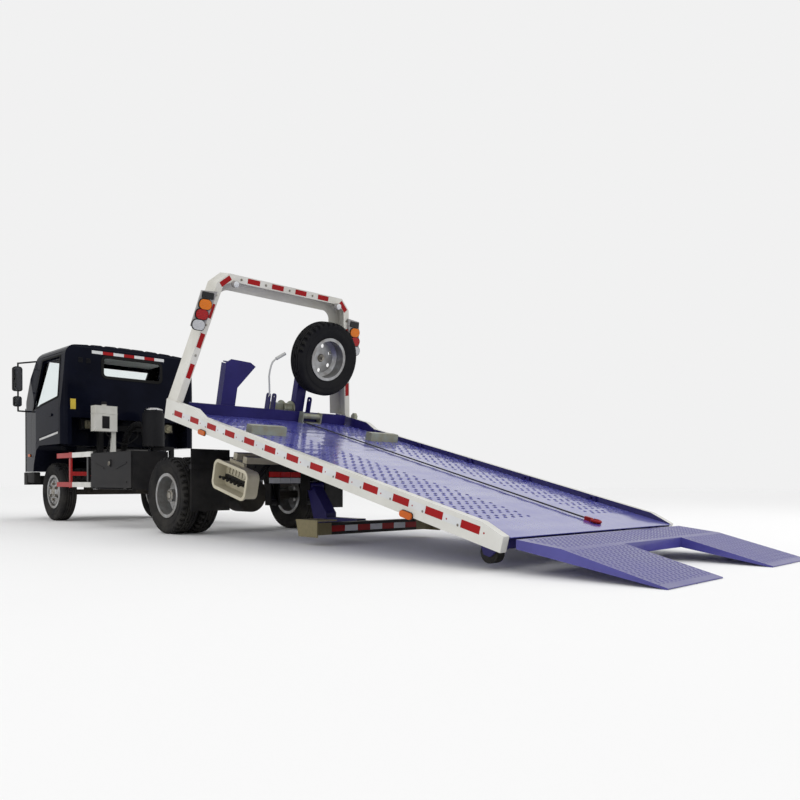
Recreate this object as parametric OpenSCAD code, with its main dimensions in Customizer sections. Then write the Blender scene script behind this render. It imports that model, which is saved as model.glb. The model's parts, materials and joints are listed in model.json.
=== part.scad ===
// Light recovery truck: cab-over chassis, sliding and tilting bed, tail ramp and wheel lift.
// Millimetres. X runs forward, Y to the left and Z up, and the ground is Z = 0.

/* [Wheels] */
// Tyre outside diameter
tyre_d = 764; // [700:1:840]
// Tyre section width
tyre_w = 190; // [160:1:205]
// Rim seat diameter
rim_d = 406; // [380:1:440]
// Distance between the axles
wheelbase = 3360; // [3200:10:3600]
// Front tyre centre from the middle plane
front_y = 702; // [690:1:715]
// Outer rear tyre centre from the middle plane
rear_y = 848; // [835:1:860]
// Gap between the twin tyres
twin_gap = 25; // [15:1:40]

/* [Chassis] */
// Outer face of a frame rail from the middle plane
frame_y = 350; // [340:1:360]
// Frame rail height
frame_h = 160; // [130:1:180]
// Frame rail top above the ground
frame_top = 700; // [690:1:705]
// Frame rail flange width
frame_flange = 65; // [50:1:75]
// Frame rail plate thickness
frame_t = 8; // [5:1:12]
// Tail of the frame from the rear axle
frame_tail = -1290; // [-1300:1:-1280]
// Nose of the frame ahead of the front axle
frame_over = 800; // [740:5:820]
// Steering pin from the middle plane
king_y = 600; // [590:1:605]

/* [Bumper] */
// Front face of the bumper ahead of the front axle
bumper_over = 1040; // [1020:1:1090]
// Bumper lower edge
bumper_low = 470; // [430:5:500]
// Bumper upper edge
bumper_high = 600; // [570:5:604]
// Bumper half width
bumper_y = 880; // [800:5:920]

/* [Cab] */
// Half width of the cab
cab_y = 920; // [890:5:940]
// Rear wall of the cab from the front axle
cab_rear = -670; // [-680:5:-640]
// Front of the cab from the front axle
cab_front = 1020; // [990:5:1040]
// Roof height
cab_roof = 2235; // [2150:5:2300]
// Cab underside behind the wheel arch
cab_low = 990; // [970:5:1010]
// Cab underside at the front
cab_nose_low = 650; // [645:1:660]
// Cab wall thickness
cab_t = 30; // [20:1:40]
// Foot of the windscreen above the ground
belt_z = 1400; // [1350:5:1450]
// Gap around a door
door_gap = 5; // [3:0.5:8]
// Cab tilt pivot from the front axle
cab_pivot_x = 975; // [970:1:980]
// Cab tilt pivot above the ground
cab_pivot_z = 622; // [618:1:624]

/* [Bed] */
// Bed length
bed_len = 4111; // [4050:1:4150]
// Half width of the bed
bed_y = 1075; // [1040:1:1110]
// Bed slope at rest
bed_tilt = 14.3; // [13:0.1:15.6]
// Deck tail edge above the ground
bed_tail_z = 202; // [196:1:210]
// Side rail width
side_w = 60; // [50:1:70]
// Side rail above the deck
side_up = 43; // [35:1:55]
// Side rail below the deck
side_down = 94; // [90:1:100]
// Height of the raised front part of a side rail
side_step = 47; // [30:1:60]
// Deck plate thickness
deck_t = 5; // [4:0.5:6]
// Depth of the cross beams under the deck
beam_h = 80; // [75:1:85]
// Number of cross beams
beam_n = 9; // [7:1:11]
// Depth of the runners under the cross beams
runner_h = 120; // [110:1:125]

/* [Headboard] */
// Headboard depth
head_d = 170; // [140:1:175]
// Half width below the upper bend
head_mid = 808; // [790:1:830]
// Half width of the top bar
head_top = 690; // [650:1:720]
// Height of the upper bend
head_bend = 1230; // [1150:5:1260]
// Height of the top bar
head_h = 1335; // [1300:5:1380]
// Flange width
head_flange = 68; // [55:1:80]
// Front flange width
head_front = 150; // [120:1:170]

/* [Tilt frame] */
// Tilt pivot from the rear axle
pivot_x = -1250; // [-1255:1:-1245]
// Tilt pivot above the ground
pivot_z = 660; // [658:1:664]
// Tilt pivot below the deck surface
pivot_drop = 297.7; // [296:0.1:300]
// Tilt frame behind its pivot
sub_back = 72; // [60:1:80]
// Tilt frame ahead of its pivot
sub_ahead = 2358; // [2280:2:2380]
// Tilt frame underside below the deck
sub_low = 240; // [235:1:242]
// Slide cylinder bore radius
ram_r = 30; // [27:1:32]
// Tilt cylinder barrel radius
lift_r = 40; // [34:1:44]

/* [Ramp] */
// Run of the ramp behind its hinge
ramp_run = 920; // [880:5:960]
// Half width of the ramp
ramp_y = 1037; // [1000:1:1060]
// Half width of the opening between the prongs
ramp_gap = 381; // [340:1:420]
// Ramp depth at the hinge
ramp_h = 55; // [48:1:58]

/* [Wheel lift] */
// Wheel lift pivot from the rear axle
lift_x = -1180; // [-1190:1:-1170]
// Wheel lift pivot above the ground
lift_z = 480; // [470:1:490]
// Crossbar centre from the rear axle
bar_x = -2000; // [-2050:5:-1980]
// Half width of the crossbar
bar_y = 730; // [650:5:780]
// Height of the boom centre above the ground
boom_z = 140; // [135:1:150]

/* [Side gear] */
// Outer face of the side gear from the middle plane
gear_y = 900; // [880:5:920]
// Rear end of the toolbox
box_rear = 830; // [800:5:880]
// Front end of the toolbox
box_front = 1870; // [1820:5:1900]
// Toolbox lower edge
box_low = 430; // [400:5:460]
// Toolbox upper edge
box_high = 850; // [800:5:860]

/* [Hidden] */
$fn = 48;
fit = 0.3;
bed_tail_x = pivot_x - ((pivot_z - bed_tail_z) * cos(bed_tilt) + pivot_drop) / sin(bed_tilt);
axle_z = tyre_d / 2;
rim_r = rim_d / 2;
hinge_x = bed_tail_x - 28;
hinge_z = bed_tail_z - 36;
hinge_u = (hinge_x - bed_tail_x) * cos(bed_tilt) + (hinge_z - bed_tail_z) * sin(bed_tilt);
hinge_w = (hinge_z - bed_tail_z) * cos(bed_tilt) - (hinge_x - bed_tail_x) * sin(bed_tilt);
tip_x = hinge_x - ramp_run;
frame_nose = wheelbase + frame_over;
bumper_x = wheelbase + bumper_over;
x_mid = (bumper_x + tip_x) / 2;
twin_y = rear_y - tyre_w - twin_gap;
frame_low = frame_top - frame_h;
deck_y = bed_y - side_w;
beam_low = deck_t + beam_h;
runner_y = 380;
runner_low = beam_low + runner_h;
sub_y = runner_y - 10;
sub_high = beam_low + 12;
ram_w = -130;
pivot_u = (pivot_x - bed_tail_x) * cos(bed_tilt) + (pivot_z - bed_tail_z) * sin(bed_tilt);
pivot_w = -pivot_drop;
sub_rear = pivot_u - sub_back;
sub_front = pivot_u + sub_ahead;
eye_u = pivot_u + 678;
eye_w = -290;
eye_x = bed_tail_x + eye_u * cos(bed_tilt) - eye_w * sin(bed_tilt);
eye_z = bed_tail_z + eye_u * sin(bed_tilt) + eye_w * cos(bed_tilt);
base_x = -800;
base_z = 320;
lift_y = 220;
lift_len = sqrt((eye_x - base_x) * (eye_x - base_x) + (eye_z - base_z) * (eye_z - base_z));
lift_slope = atan2(eye_z - base_z, eye_x - base_x);
roller_u = 151;
roller_w = -144;
roller_y = 950;
box_pin_y = gear_y - 5;
box_pin_z = box_low + 8;
cab_top = cab_roof + 55;
screen_top = [290, cab_roof - 35];
screen_foot = [930, belt_z];
tunnel_y = 430;
tunnel_z = 800;
door_low = 845;
handle = [-340, belt_z - 48, -220, belt_z - 12];
head_base = side_up + side_step;
head_u = bed_len - head_d - 11;
head_foot = bed_y - 5;
spare_at = [head_u - 100, 570 - head_foot, 690];
spare_disc = 66;

// Puts a sub-part into the shared frame, whose origin is the middle of the footprint.
module row() {
    translate([-x_mid, 0, 0]) children();
}

// Places what is measured from the front axle.
module nose() {
    translate([wheelbase - x_mid, 0, 0]) children();
}

// Places bed coordinates: X from the tail edge forward, Z up from the deck surface.
module bed() {
    row() translate([bed_tail_x, 0, bed_tail_z]) rotate([0, -bed_tilt, 0]) children();
}

// Block between two corners.
module bar(x0, x1, y0, y1, z0, z1) {
    translate([min(x0, x1), min(y0, y1), min(z0, z1)]) cube([abs(x1 - x0), abs(y1 - y0), abs(z1 - z0)]);
}

// Cylinder along Y.
module pin(x, z, r, y0, y1) {
    translate([x, min(y0, y1), z]) rotate([-90, 0, 0]) cylinder(r = r, h = abs(y1 - y0));
}

// Cylinder along X.
module rod(x0, x1, y, z, r) {
    translate([min(x0, x1), y, z]) rotate([0, 90, 0]) cylinder(r = r, h = abs(x1 - x0));
}

// Side outline in X and Z, extruded across the truck.
module slab(points, y0, y1) {
    translate([0, max(y0, y1), 0]) rotate([90, 0, 0]) linear_extrude(height = abs(y1 - y0)) polygon(points);
}

// Rear outline in Y and Z, extruded forward.
module plate(points, x0, x1) {
    translate([x0, 0, 0]) rotate([90, 0, 90]) linear_extrude(height = x1 - x0) polygon(points);
}

// Direction of a line.
function unit(v) = v / norm(v);

// Corners of an upright panel with one radius.
function panel(x0, z0, x1, z1, r) = [[x0, z0, r], [x1, z0, r], [x1, z1, r], [x0, z1, r]];

// Takes the tip off corner b of an outline that comes from a and goes to c. The arc crosses both edges at a
// sixth of the corner's half turn, so that it never runs along them.
module tip(a, b, c, r) {
    e = unit(a - b);
    f = unit(c - b);
    half = acos(e * f) / 2;
    reach = r * cos((90 - half) / 6);
    centre = b + unit(e + f) * reach / sin(half);
    difference() {
        polygon([b, b + e * reach / tan(half), centre, b + f * reach / tan(half)]);
        translate(centre) circle(r = r, $fn = 2 * $fn);
    }
}

// Outline of corners that each hold two coordinates and a radius.
module rounded(corners) {
    n = len(corners);
    at = [for (p = corners) [p[0], p[1]]];
    difference() {
        polygon(at);
        for (i = [0:n - 1]) {
            if (corners[i][2] > 0) {
                tip(at[(i + n - 1) % n], at[i], at[(i + 1) % n], corners[i][2]);
            }
        }
    }
}

// Side outline pulled across the truck.
module across(y0, y1) {
    translate([0, max(y0, y1), 0]) rotate([90, 0, 0]) linear_extrude(height = abs(y1 - y0)) children();
}

// Rear outline pulled forward.
module ahead(x0, x1) {
    translate([x0, 0, 0]) rotate([90, 0, 90]) linear_extrude(height = x1 - x0) children();
}

// Ring turned about a wheel's axis, with its outline in radius and outward distance.
module turned(points, x, y, side) {
    translate([x, y, axle_z]) rotate([-90 * side, 0, 0]) rotate_extrude() polygon(points);
}

// Tyre
function tyre_out(r, w) = [[rim_r + fit, -w + 27], [rim_r + 22, -w + 25], [rim_r + 95, -w], [r - 40, -w],
    [r - 12, -w + 11], [r, -w + 25], [r, w - 25], [r - 12, w - 11], [r - 40, w], [rim_r + 95, w],
    [rim_r + 22, w - 25], [rim_r + fit, w - 27]];
function tyre_in(r, w) = [[rim_r - 1, -w + 41], [rim_r + 25, -w + 38], [rim_r + 95, -w + 15], [r - 45, -w + 15],
    [r - 24, -w + 30], [r - 24, w - 30], [r - 45, w - 15], [rim_r + 95, w - 15], [rim_r + 25, w - 38],
    [rim_r - 1, w - 41]];

module tyre(x, y, side) {
    difference() {
        turned(tyre_out(tyre_d / 2, tyre_w / 2), x, y, side);
        turned(tyre_in(tyre_d / 2, tyre_w / 2), x, y, side);
    }
}

// Rim well and disc. The disc stands at distance d from the tyre's middle and is dished by k to meet the well.
module rim(x, y, side, d, k, bore) {
    w = tyre_w / 2 - 25 + fit;
    difference() {
        union() {
            turned([[rim_r - 12, -w - 9], [rim_r + 18, -w - 9], [rim_r + 18, -w], [rim_r, -w], [rim_r, w],
                [rim_r + 18, w], [rim_r + 18, w + 9], [rim_r - 12, w + 9]], x, y, side);
            turned([[bore, d - 6], [156, d - 6], [rim_r - 8, d + k - 8], [rim_r - 8, d + k + 8], [152, d + 6],
                [bore, d + 6]], x, y, side);
        }
        for (a = [0:60:300]) {
            translate([x, y, axle_z]) rotate([90, a, 0]) translate([0, 128, -200]) cylinder(r = 22, h = 400);
        }
    }
}

// Frame rails and cross members, with the brackets of the cab, bed, tilt cylinders and wheel lift.
module chassis_frame() {
    color("#202124") row() {
        difference() {
            union() {
                for (s = [-1, 1]) {
                    difference() {
                        bar(frame_tail, frame_nose, s * frame_y, s * (frame_y - frame_flange), frame_low, frame_top);
                        bar(frame_tail - 1, frame_nose + 1, s * (frame_y - frame_t), s * (frame_y - frame_flange - 1),
                            frame_low + frame_t, frame_top - frame_t);
                    }
                    bar(frame_nose - 120, wheelbase + cab_pivot_x + 16, s * (frame_y - 18), s * frame_y, cab_pivot_z - 22,
                        cab_pivot_z + 14);
                    bar(base_x - 45, base_x + 45, s * (lift_y + 46), s * (lift_y + 58), base_z - 30, frame_top - 20);
                    bar(base_x - 45, base_x + 45, s * (lift_y - 46), s * (lift_y - 58), base_z - 30, frame_top - 20);
                    pin(base_x, base_z, 15, s * (lift_y - 58), s * (lift_y + 58));
                    bar(lift_x - 45, lift_x + 70, s * 90, s * 105, lift_z - 40, frame_top - 30);
                }
                for (x = [lift_x + 25, base_x, 500, 1500, 2150, frame_nose - 60]) {
                    bar(x - 40, x + 40, frame_t - frame_y, frame_y - frame_t, frame_top - 62, frame_top - 12);
                }
                pin(wheelbase + cab_pivot_x, cab_pivot_z, 12, -frame_y + 1, frame_y - 1);
                pin(pivot_x, pivot_z, 20, -frame_y + 1, frame_y - 1);
                pin(lift_x, lift_z, 20, -105, 105);
            }
            for (s = [-1, 1], x = [1900, 2050]) {
                pin(x, frame_top - 80, 8, s * (frame_y - 30), s * (frame_y + 1));
            }
        }
    }
}

// Hoop behind the cab that carries its rear mounts.
module cab_hoop() {
    color("#26282b") nose() {
        for (s = [-1, 1]) {
            bar(-570, -490, s * frame_y, s * (frame_y + 60), frame_low + 30, 1200);
            bar(-570, -490, s * 420, s * 640, 1250, 1320);
        }
        bar(-570, -490, -640, 640, 1190, 1260);
    }
}

// Beam axle with the eyes of the steering pins.
module front_axle() {
    color("#2b2d30") row() {
        difference() {
            union() {
                bar(wheelbase - 45, wheelbase + 45, -king_y, king_y, axle_z - 40, axle_z + 30);
                for (s = [-1, 1]) {
                    translate([wheelbase, s * king_y, axle_z - 45]) cylinder(r = 38, h = 90);
                    bar(wheelbase - 60, wheelbase + 60, s * (frame_y - 65), s * frame_y, axle_z + 20, axle_z + 55);
                }
            }
            for (s = [-1, 1]) {
                translate([wheelbase, s * king_y, axle_z - 60]) cylinder(r = 15 + fit, h = 120);
            }
        }
    }
}

// Banjo axle with its final drive.
module rear_axle() {
    color("#2b2d30") row() {
        pin(0, axle_z, 55, -560, 560);
        pin(0, axle_z, 40, -900, 900);
        rod(-110, 150, 0, axle_z, 184);
        rod(140, 260, 0, axle_z, 70);
        for (s = [-1, 1]) {
            bar(-60, 60, s * (frame_y - 65), s * frame_y, axle_z + 30, axle_z + 70);
        }
    }
}

// Leaf springs under the frame rails.
module leaf_springs() {
    color("#35373a") row() {
        for (s = [-1, 1], a = [[0, 70], [wheelbase, 55]]) {
            z = axle_z + a[1];
            e = frame_low;
            slab([[a[0] - 560, e - 22], [a[0] - 280, z + 14], [a[0], z], [a[0] + 280, z + 14], [a[0] + 560, e - 22],
                [a[0] + 560, e], [a[0] + 500, e], [a[0] + 280, z + 46], [a[0], z + 36], [a[0] - 280, z + 46],
                [a[0] - 500, e], [a[0] - 560, e]], s * (frame_y - 62), s * (frame_y - 4));
        }
    }
}

// Engine and gearbox under the cab, as plain blocks.
module engine() {
    color("#3a3b3d") nose() {
        bar(-580, 160, -260, 260, 500, 950);
        bar(-1100, -560, -150, 150, 440, 620);
        for (s = [-1, 1]) {
            bar(-360, -280, s * 250, s * (frame_y - frame_t), 570, 630);
        }
    }
}

// Shaft from the gearbox to the rear axle.
module driveshaft() {
    rear = 260 + fit;
    front = wheelbase - 1100 - fit;
    box_z = 530;
    run = front - rear - 80;
    color("#4a4c4f") row() {
        rod(rear, rear + 60, 0, axle_z, 46);
        rod(front - 60, front, 0, box_z, 46);
        translate([rear + 40, 0, axle_z]) rotate([0, atan2(run, box_z - axle_z), 0])
            cylinder(r = 38, h = norm([run, box_z - axle_z]));
    }
}

// Fuel tank on the right of the frame.
module fuel_tank() {
    color("#303236") row() {
        bar(950, 1750, -gear_y + 20, -470, 440, 820);
        for (x = [1050, 1600]) {
            bar(x, x + 50, -470, -frame_y, 560, 680);
        }
    }
}

// Toolbox on the left of the frame, open where its door closes it.
module toolbox() {
    color("#4b4e52") row() {
        difference() {
            bar(box_rear, box_front, 470, gear_y - 15, box_low, box_high);
            bar(box_rear + 8, box_front - 8, 478, gear_y, box_low + 8, box_high - 8);
        }
        for (x = [box_rear + 120, box_front - 170]) {
            bar(x, x + 50, frame_y, 470, 560, 680);
            rod(x - 12, x + 72, box_pin_y, box_pin_z, 4);
            for (d = [-14, 62]) {
                bar(x + d, x + d + 12, gear_y - 16, box_pin_y + 6, box_pin_z - 8, box_pin_z + 6);
            }
        }
    }
}

// Drop-down door of the toolbox.
module toolbox_door() {
    middle = (box_rear + box_front) / 2;
    color("#4b4e52") row() {
        difference() {
            union() {
                bar(box_rear + 4, box_front - 4, gear_y - 10, gear_y, box_pin_z + 10, box_high - 4);
                for (x = [box_rear + 120, box_front - 170]) {
                    rod(x, x + 60, box_pin_y, box_pin_z, 8);
                    bar(x, x + 60, box_pin_y - 4, box_pin_y + 4, box_pin_z, box_pin_z + 12);
                }
                for (d = [-1, 1]) {
                    slab([[middle + d * 160, box_high - 175], [middle + d * 410, box_high - 115],
                        [middle + d * 410, box_high - 132], [middle + d * 160, box_high - 192]], gear_y - 1, gear_y + 5);
                }
                bar(middle - 420, middle + 420, gear_y - 1, gear_y + 6, box_low + 75, box_low + 92);
                across(gear_y - 1, gear_y + 12) rounded(panel(middle - 26, box_high - 165, middle + 26, box_high - 85, 14));
            }
            rod(box_rear, box_front, box_pin_y, box_pin_z, 4 + fit);
        }
    }
}

// Side guard rails between the toolbox and the front wheel.
module side_guards() {
    color("#d8d8d4") row() {
        for (s = [-1, 1]) {
            for (z = [box_low + 20, box_high - 40]) {
                bar(box_front + 15, wheelbase - 440, s * (gear_y - 30), s * gear_y, z, z + 60);
            }
            for (x = [box_front + 150, wheelbase - 800]) {
                bar(x, x + 45, s * (gear_y - 55), s * (gear_y - 30), box_low + 10, box_high + 30);
                bar(x, x + 45, s * frame_y, s * (gear_y - 30), 590, 640);
            }
        }
    }
}

// Mud flaps behind the rear wheels, on their carrier.
module mud_flaps() {
    color("#1c1d1f") row() {
        for (s = [-1, 1]) {
            bar(-520, -480, s * frame_y, s * 945, 640, 685);
            bar(-505, -495, s * 520, s * 940, 240, 830);
        }
    }
}

// Front bumper.
module front_bumper() {
    x = bumper_x;
    y = bumper_y;
    color("#17191d") row() {
        translate([0, 0, bumper_low]) linear_extrude(height = bumper_high - bumper_low)
            rounded([[x, -500, 600], [x, 500, 600], [x - 60, 760, 200], [x - 200, y, 150], [x - 340, y, 0],
                [x - 340, y - 40, 0], [x - 215, y - 40, 0], [x - 100, 735, 0], [x - 45, 480, 0], [x - 45, -480, 0],
                [x - 100, -735, 0], [x - 215, 40 - y, 0], [x - 340, 40 - y, 0], [x - 340, -y, 0],
                [x - 200, -y, 150], [x - 60, -760, 200]]);
        for (s = [-1, 1]) {
            bar(frame_nose, x - 45, s * (frame_y - 60), s * (frame_y - 26), frame_low, bumper_high - 10);
        }
    }
}

// Lamp clusters at the frame's tail.
module tail_lamps() {
    color("#8c1d1d") row() {
        for (s = [-1, 1]) {
            bar(frame_tail - 45, frame_tail, s * 290, s * 650, 500, 615);
            for (k = [0:2], z = [507, 561]) {
                bar(frame_tail - 57, frame_tail - 44, s * (300 + 116 * k), s * (408 + 116 * k), z, z + 47);
            }
        }
    }
}

// Coolant header tank behind the cab.
module expansion_tank() {
    color("#e6e6e0") nose() {
        bar(-980, -840, 350, 630, 1150, 1470);
        translate([-910, 490, 1470]) cylinder(r = 30, h = 20);
        bar(-940, -880, frame_y + fit, frame_y + 50, frame_low + 30, 1150);
    }
}

// Air cleaner canister behind the cab.
module air_cleaner() {
    color("#2a2c30") nose() {
        translate([-1020, -120, 980]) cylinder(r = 140, h = 430);
        translate([-1020, -120, 1410]) cylinder(r = 120, h = 40);
        bar(-1050, -990, -frame_y - 50, -120, 930, 980);
        bar(-1050, -990, -frame_y - 50, -frame_y, frame_low + 30, 980);
    }
}

// Steering knuckle with its pin and stub axle.
module knuckle(s) {
    color("#3c3e41") row() {
        translate([wheelbase, s * king_y, axle_z - 82]) cylinder(r = 40, h = 32);
        translate([wheelbase, s * king_y, axle_z + 50]) cylinder(r = 40, h = 32);
        translate([wheelbase, s * king_y, axle_z - 80]) cylinder(r = 15, h = 160);
        bar(wheelbase - 35, wheelbase + 35, s * (king_y + 43), s * (king_y + 63), axle_z - 82, axle_z + 82);
        for (z = [axle_z - 82, axle_z + 50]) {
            bar(wheelbase - 35, wheelbase + 35, s * king_y, s * (king_y + 63), z, z + 32);
        }
        pin(wheelbase, axle_z, 25, s * (king_y + 50), s * (front_y + 60));
    }
}

module knuckle_left() { knuckle(1); }
module knuckle_right() { knuckle(-1); }

// Front wheels.
module front_tyre(s) {
    color("#2a2a2b") row() tyre(wheelbase, s * front_y, s);
}

module front_rim(s) {
    color("#a9abad") row() {
        rim(wheelbase, s * front_y, s, 66, -30, 60);
        turned([[25 + fit, -25], [75, -25], [75, 64], [58, 82], [25 + fit, 82]], wheelbase, s * front_y, s);
    }
}

module front_left_tyre() { front_tyre(1); }
module front_right_tyre() { front_tyre(-1); }
module front_left_rim() { front_rim(1); }
module front_right_rim() { front_rim(-1); }

// Twin rear wheels.
module rear_tyre_pair(s) {
    color("#2a2a2b") row() {
        tyre(0, s * rear_y, s);
        tyre(0, s * twin_y, s);
    }
}

module rear_rim_pair(s) {
    half = (rear_y - twin_y) / 2;
    color("#a9abad") row() {
        rim(0, s * rear_y, s, 6 - half, 42, 60);
        rim(0, s * twin_y, s, half - 6, -42, 60);
        turned([[40 + fit, -half - 20], [85, -half - 20], [85, -half + 40], [62, -half + 60], [62, 40],
            [40 + fit, 40]], 0, s * rear_y, s);
    }
}

module rear_left_tyres() { rear_tyre_pair(1); }
module rear_right_tyres() { rear_tyre_pair(-1); }
module rear_left_rims() { rear_rim_pair(1); }
module rear_right_rims() { rear_rim_pair(-1); }

// Cab outlines of corners with radii, drawn in by t from the outside.
function cab_side(t) = [[cab_rear + t, cab_low + t, 0], [cab_rear + t, cab_top - t, 80 - t],
    [180, cab_top - t, 200], [screen_top[0] - 0.85 * t, screen_top[1] - 0.9 * t, 0],
    [screen_foot[0] - 1.15 * t, screen_foot[1] - 0.2 * t, 200], [cab_front - t, 1060, 0],
    [cab_front - t, cab_nose_low + t, 0], [380 + 0.6 * t, cab_nose_low + t, 0],
    [355 + 0.8 * t, cab_nose_low + 90, 0], [230 + 0.4 * t, cab_low - 60 + 0.9 * t, 0], [120, cab_low + t, 0]];
function cab_half_plan(t, s) = [[cab_rear - 4 + t, s * (cab_y - t), 100 - t], [240, s * (cab_y - t), 0],
    [820 - 0.1 * t, s * (cab_y - 60 - t), 200 - t], [cab_front - 60 - 0.7 * t, s * (700 - 0.7 * t), 150 - t],
    [cab_front + 6 - t, s * 380, 0]];
function cab_plan(t) = concat(cab_half_plan(t, -1), [for (i = [4:-1:0]) cab_half_plan(t, 1)[i]]);
function roof_edge(t) = [for (a = [3.6:16.2:84.6])
    [cab_y - 173 + (130 - t) * cos(a), cab_top - 171 + (130 - t) * sin(a), 0]];
function cab_half_back(t) = concat([[cab_y - t, 400, 0], [cab_y - t, 1450, 0]], roof_edge(t),
    [[520, cab_top - 19 - t, 0], [180, cab_top - 2 - t, 0]]);
function cab_back(t) = concat(cab_half_back(t), [for (i = [len(cab_half_back(t)) - 1:-1:0])
    [-cab_half_back(t)[i][0], cab_half_back(t)[i][1], cab_half_back(t)[i][2]]]);
function door_outline(g) = [[-560 + g, 1160 + g, 50], [-560 + g, cab_roof - 80 - g, 0],
    [130 - g, cab_roof - 80 - g, 0], [450 - 1.2 * g, belt_z, 0], [490 - g, 1300, 0], [490 - g, door_low + g, 30],
    [352 + g, door_low + g, 0], [330 + g, door_low + 45, 0], [240 + 0.6 * g, cab_low + 20 + g, 0],
    [120, cab_low + 100 + g, 0]];
function window_outline(g) = [[-510 - g, belt_z + 190 - g, 30], [-510 - g, cab_roof - 120 + g, 40],
    [90 + g, cab_roof - 120 + g, 40], [385 + 1.2 * g, belt_z + 50 - g, 0], [60, belt_z + 120 - g, 0]];

// Solid of the cab drawn in by t, with the recess under its rear wall and the tunnel over the frame.
module cab_solid(t) {
    difference() {
        intersection() {
            across(-cab_y - 10, cab_y + 10) rounded(cab_side(t));
            linear_extrude(height = cab_top + 100) rounded(cab_plan(t));
            ahead(cab_rear - 50, cab_front + 50) rounded(cab_back(t));
        }
        bar(cab_rear - 10, cab_rear + 270 + t, -cab_y + 120 - t, cab_y - 120 + t, cab_low - 50, 1330 + t);
        bar(40, frame_over + 30 + t, -tunnel_y - t, tunnel_y + t, cab_nose_low - 50, tunnel_z + t);
    }
}

// Welded shell: floor, pillars, ribbed roof, back and front panels.
module cab_shell() {
    color("#12151d") nose() {
        difference() {
            cab_solid(0);
            cab_solid(cab_t);
            for (s = [-1, 1]) {
                across(s * (cab_y - 70), s * (cab_y + 10)) rounded(door_outline(0));
            }
            slab([[screen_top[0] - 90, screen_top[1] - 110], [screen_top[0] + 120, screen_top[1] - 20],
                [screen_foot[0] + 120, screen_foot[1] + 75], [screen_foot[0] - 110, screen_foot[1] + 75]], -715, 715);
            bar(cab_rear - 10, cab_rear + cab_t + 10, -395, 395, cab_roof - 355, cab_roof - 115);
            for (y = [-570:190:570]) {
                rod(cab_rear - 20, 70, y, cab_top - 0.04 * abs(y) + 30, 40);
            }
        }
        for (s = [-1, 1]) {
            difference() {
                bar(cab_pivot_x - 22, cab_pivot_x + 22, s * 200, s * 240, cab_pivot_z - 22, cab_nose_low + 4);
                pin(cab_pivot_x, cab_pivot_z, 12 + fit, s * 190, s * 250);
            }
        }
    }
}

// Point of the windscreen's inner face at share k from top to foot, moved in by d.
function screen_at(k, d) = [screen_top[0] - 0.85 * cab_t + k * (screen_foot[0] - screen_top[0] - 0.3 * cab_t)
    - 0.78 * d, screen_top[1] - 0.9 * cab_t + k * (screen_foot[1] - screen_top[1] + 0.7 * cab_t) - 0.62 * d];

// Windscreen and rear window.
module cab_glass() {
    color("#30383c", 0.5) nose() {
        slab([screen_at(0.06, 0), screen_at(0.93, 0), screen_at(0.93, 6), screen_at(0.06, 6)], -735, 735);
        bar(cab_rear + cab_t, cab_rear + cab_t + 6, -410, 410, cab_roof - 370, cab_roof - 100);
    }
}

// Seats, dashboard and steering wheel.
module cab_interior() {
    color("#37393d") nose() {
        for (y = [-430, 0, 430]) {
            bar(-360, 120, y - 200, y + 200, cab_low + cab_t, 1330);
            slab([[-360, 1330], [-250, 1330], [-300, 1860], [-370, 1860]], y - 200, y + 200);
        }
        bar(620, 760, -740, 740, 1180, 1330);
        bar(640, 740, -400, 400, tunnel_z + cab_t, 1180);
        translate([540, 430, 1400]) rotate([0, -25, 0]) {
            rotate_extrude() translate([190, 0]) circle(r = 14);
            cylinder(r = 40, h = 16);
            translate([-185, -16, -2]) cube([370, 32, 10]);
            translate([0, 0, -180]) cylinder(r = 20, h = 182);
        }
    }
}

// Grille panel with its slots, on the cab's front.
module grille() {
    color("#101114") nose() {
        difference() {
            ahead(cab_front, cab_front + 14) rounded(panel(-360, 780, 360, 1000, 40));
            for (z = [806:44:950]) {
                ahead(cab_front - 1, cab_front + 15) rounded(panel(-325, z, 325, z + 28, 12));
            }
        }
    }
}

// Front of the cab's slanted corner at y, which the headlamp sits on.
function corner_x(y) = cab_front + 6 - 66 * (y - 380) / 320 + fit;

// Headlamps on the slanted corners of the cab's front.
module headlamps() {
    lens = 16;
    color("#c8ccd0") nose() {
        for (s = [-1, 1]) {
            intersection() {
                translate([0, 0, 770]) linear_extrude(height = 180) polygon([[corner_x(440), s * 440],
                    [corner_x(660), s * 660], [corner_x(660) + lens, s * 663], [corner_x(440) + lens, s * 443]]);
                ahead(cab_front - 100, cab_front + 50) rounded([[s * 455, 780, 40], [s * 655, 780, 40],
                    [s * 655, 940, 40], [s * 455, 940, 40]]);
            }
        }
    }
}

// Door mirrors on their arms.
module mirrors() {
    x = 676;
    color("#16181c") nose() {
        for (s = [-1, 1]) {
            ahead(x - 26, x + 34) rounded([[s * 950, 1750, 30], [s * 1068, 1750, 30], [s * 1068, 2085, 40],
                [s * 950, 2085, 40]]);
            ahead(x - 22, x + 28) rounded([[s * 958, 1540, 30], [s * 1060, 1540, 30], [s * 1060, 1680, 30],
                [s * 958, 1680, 30]]);
            translate([x, s * 1001, 1480]) cylinder(r = 11, h = 660);
            difference() {
                union() {
                    pin(x, 1480, 11, s * 840, s * 1001);
                    translate([x, s * 1001, 2130]) rotate([0, -90, s * 22]) cylinder(r = 11, h = 340);
                }
                cab_solid(0);
            }
            translate([x, s * 1001, 1480]) sphere(r = 11);
            translate([x, s * 1001, 2130]) sphere(r = 11);
        }
    }
}

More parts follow.
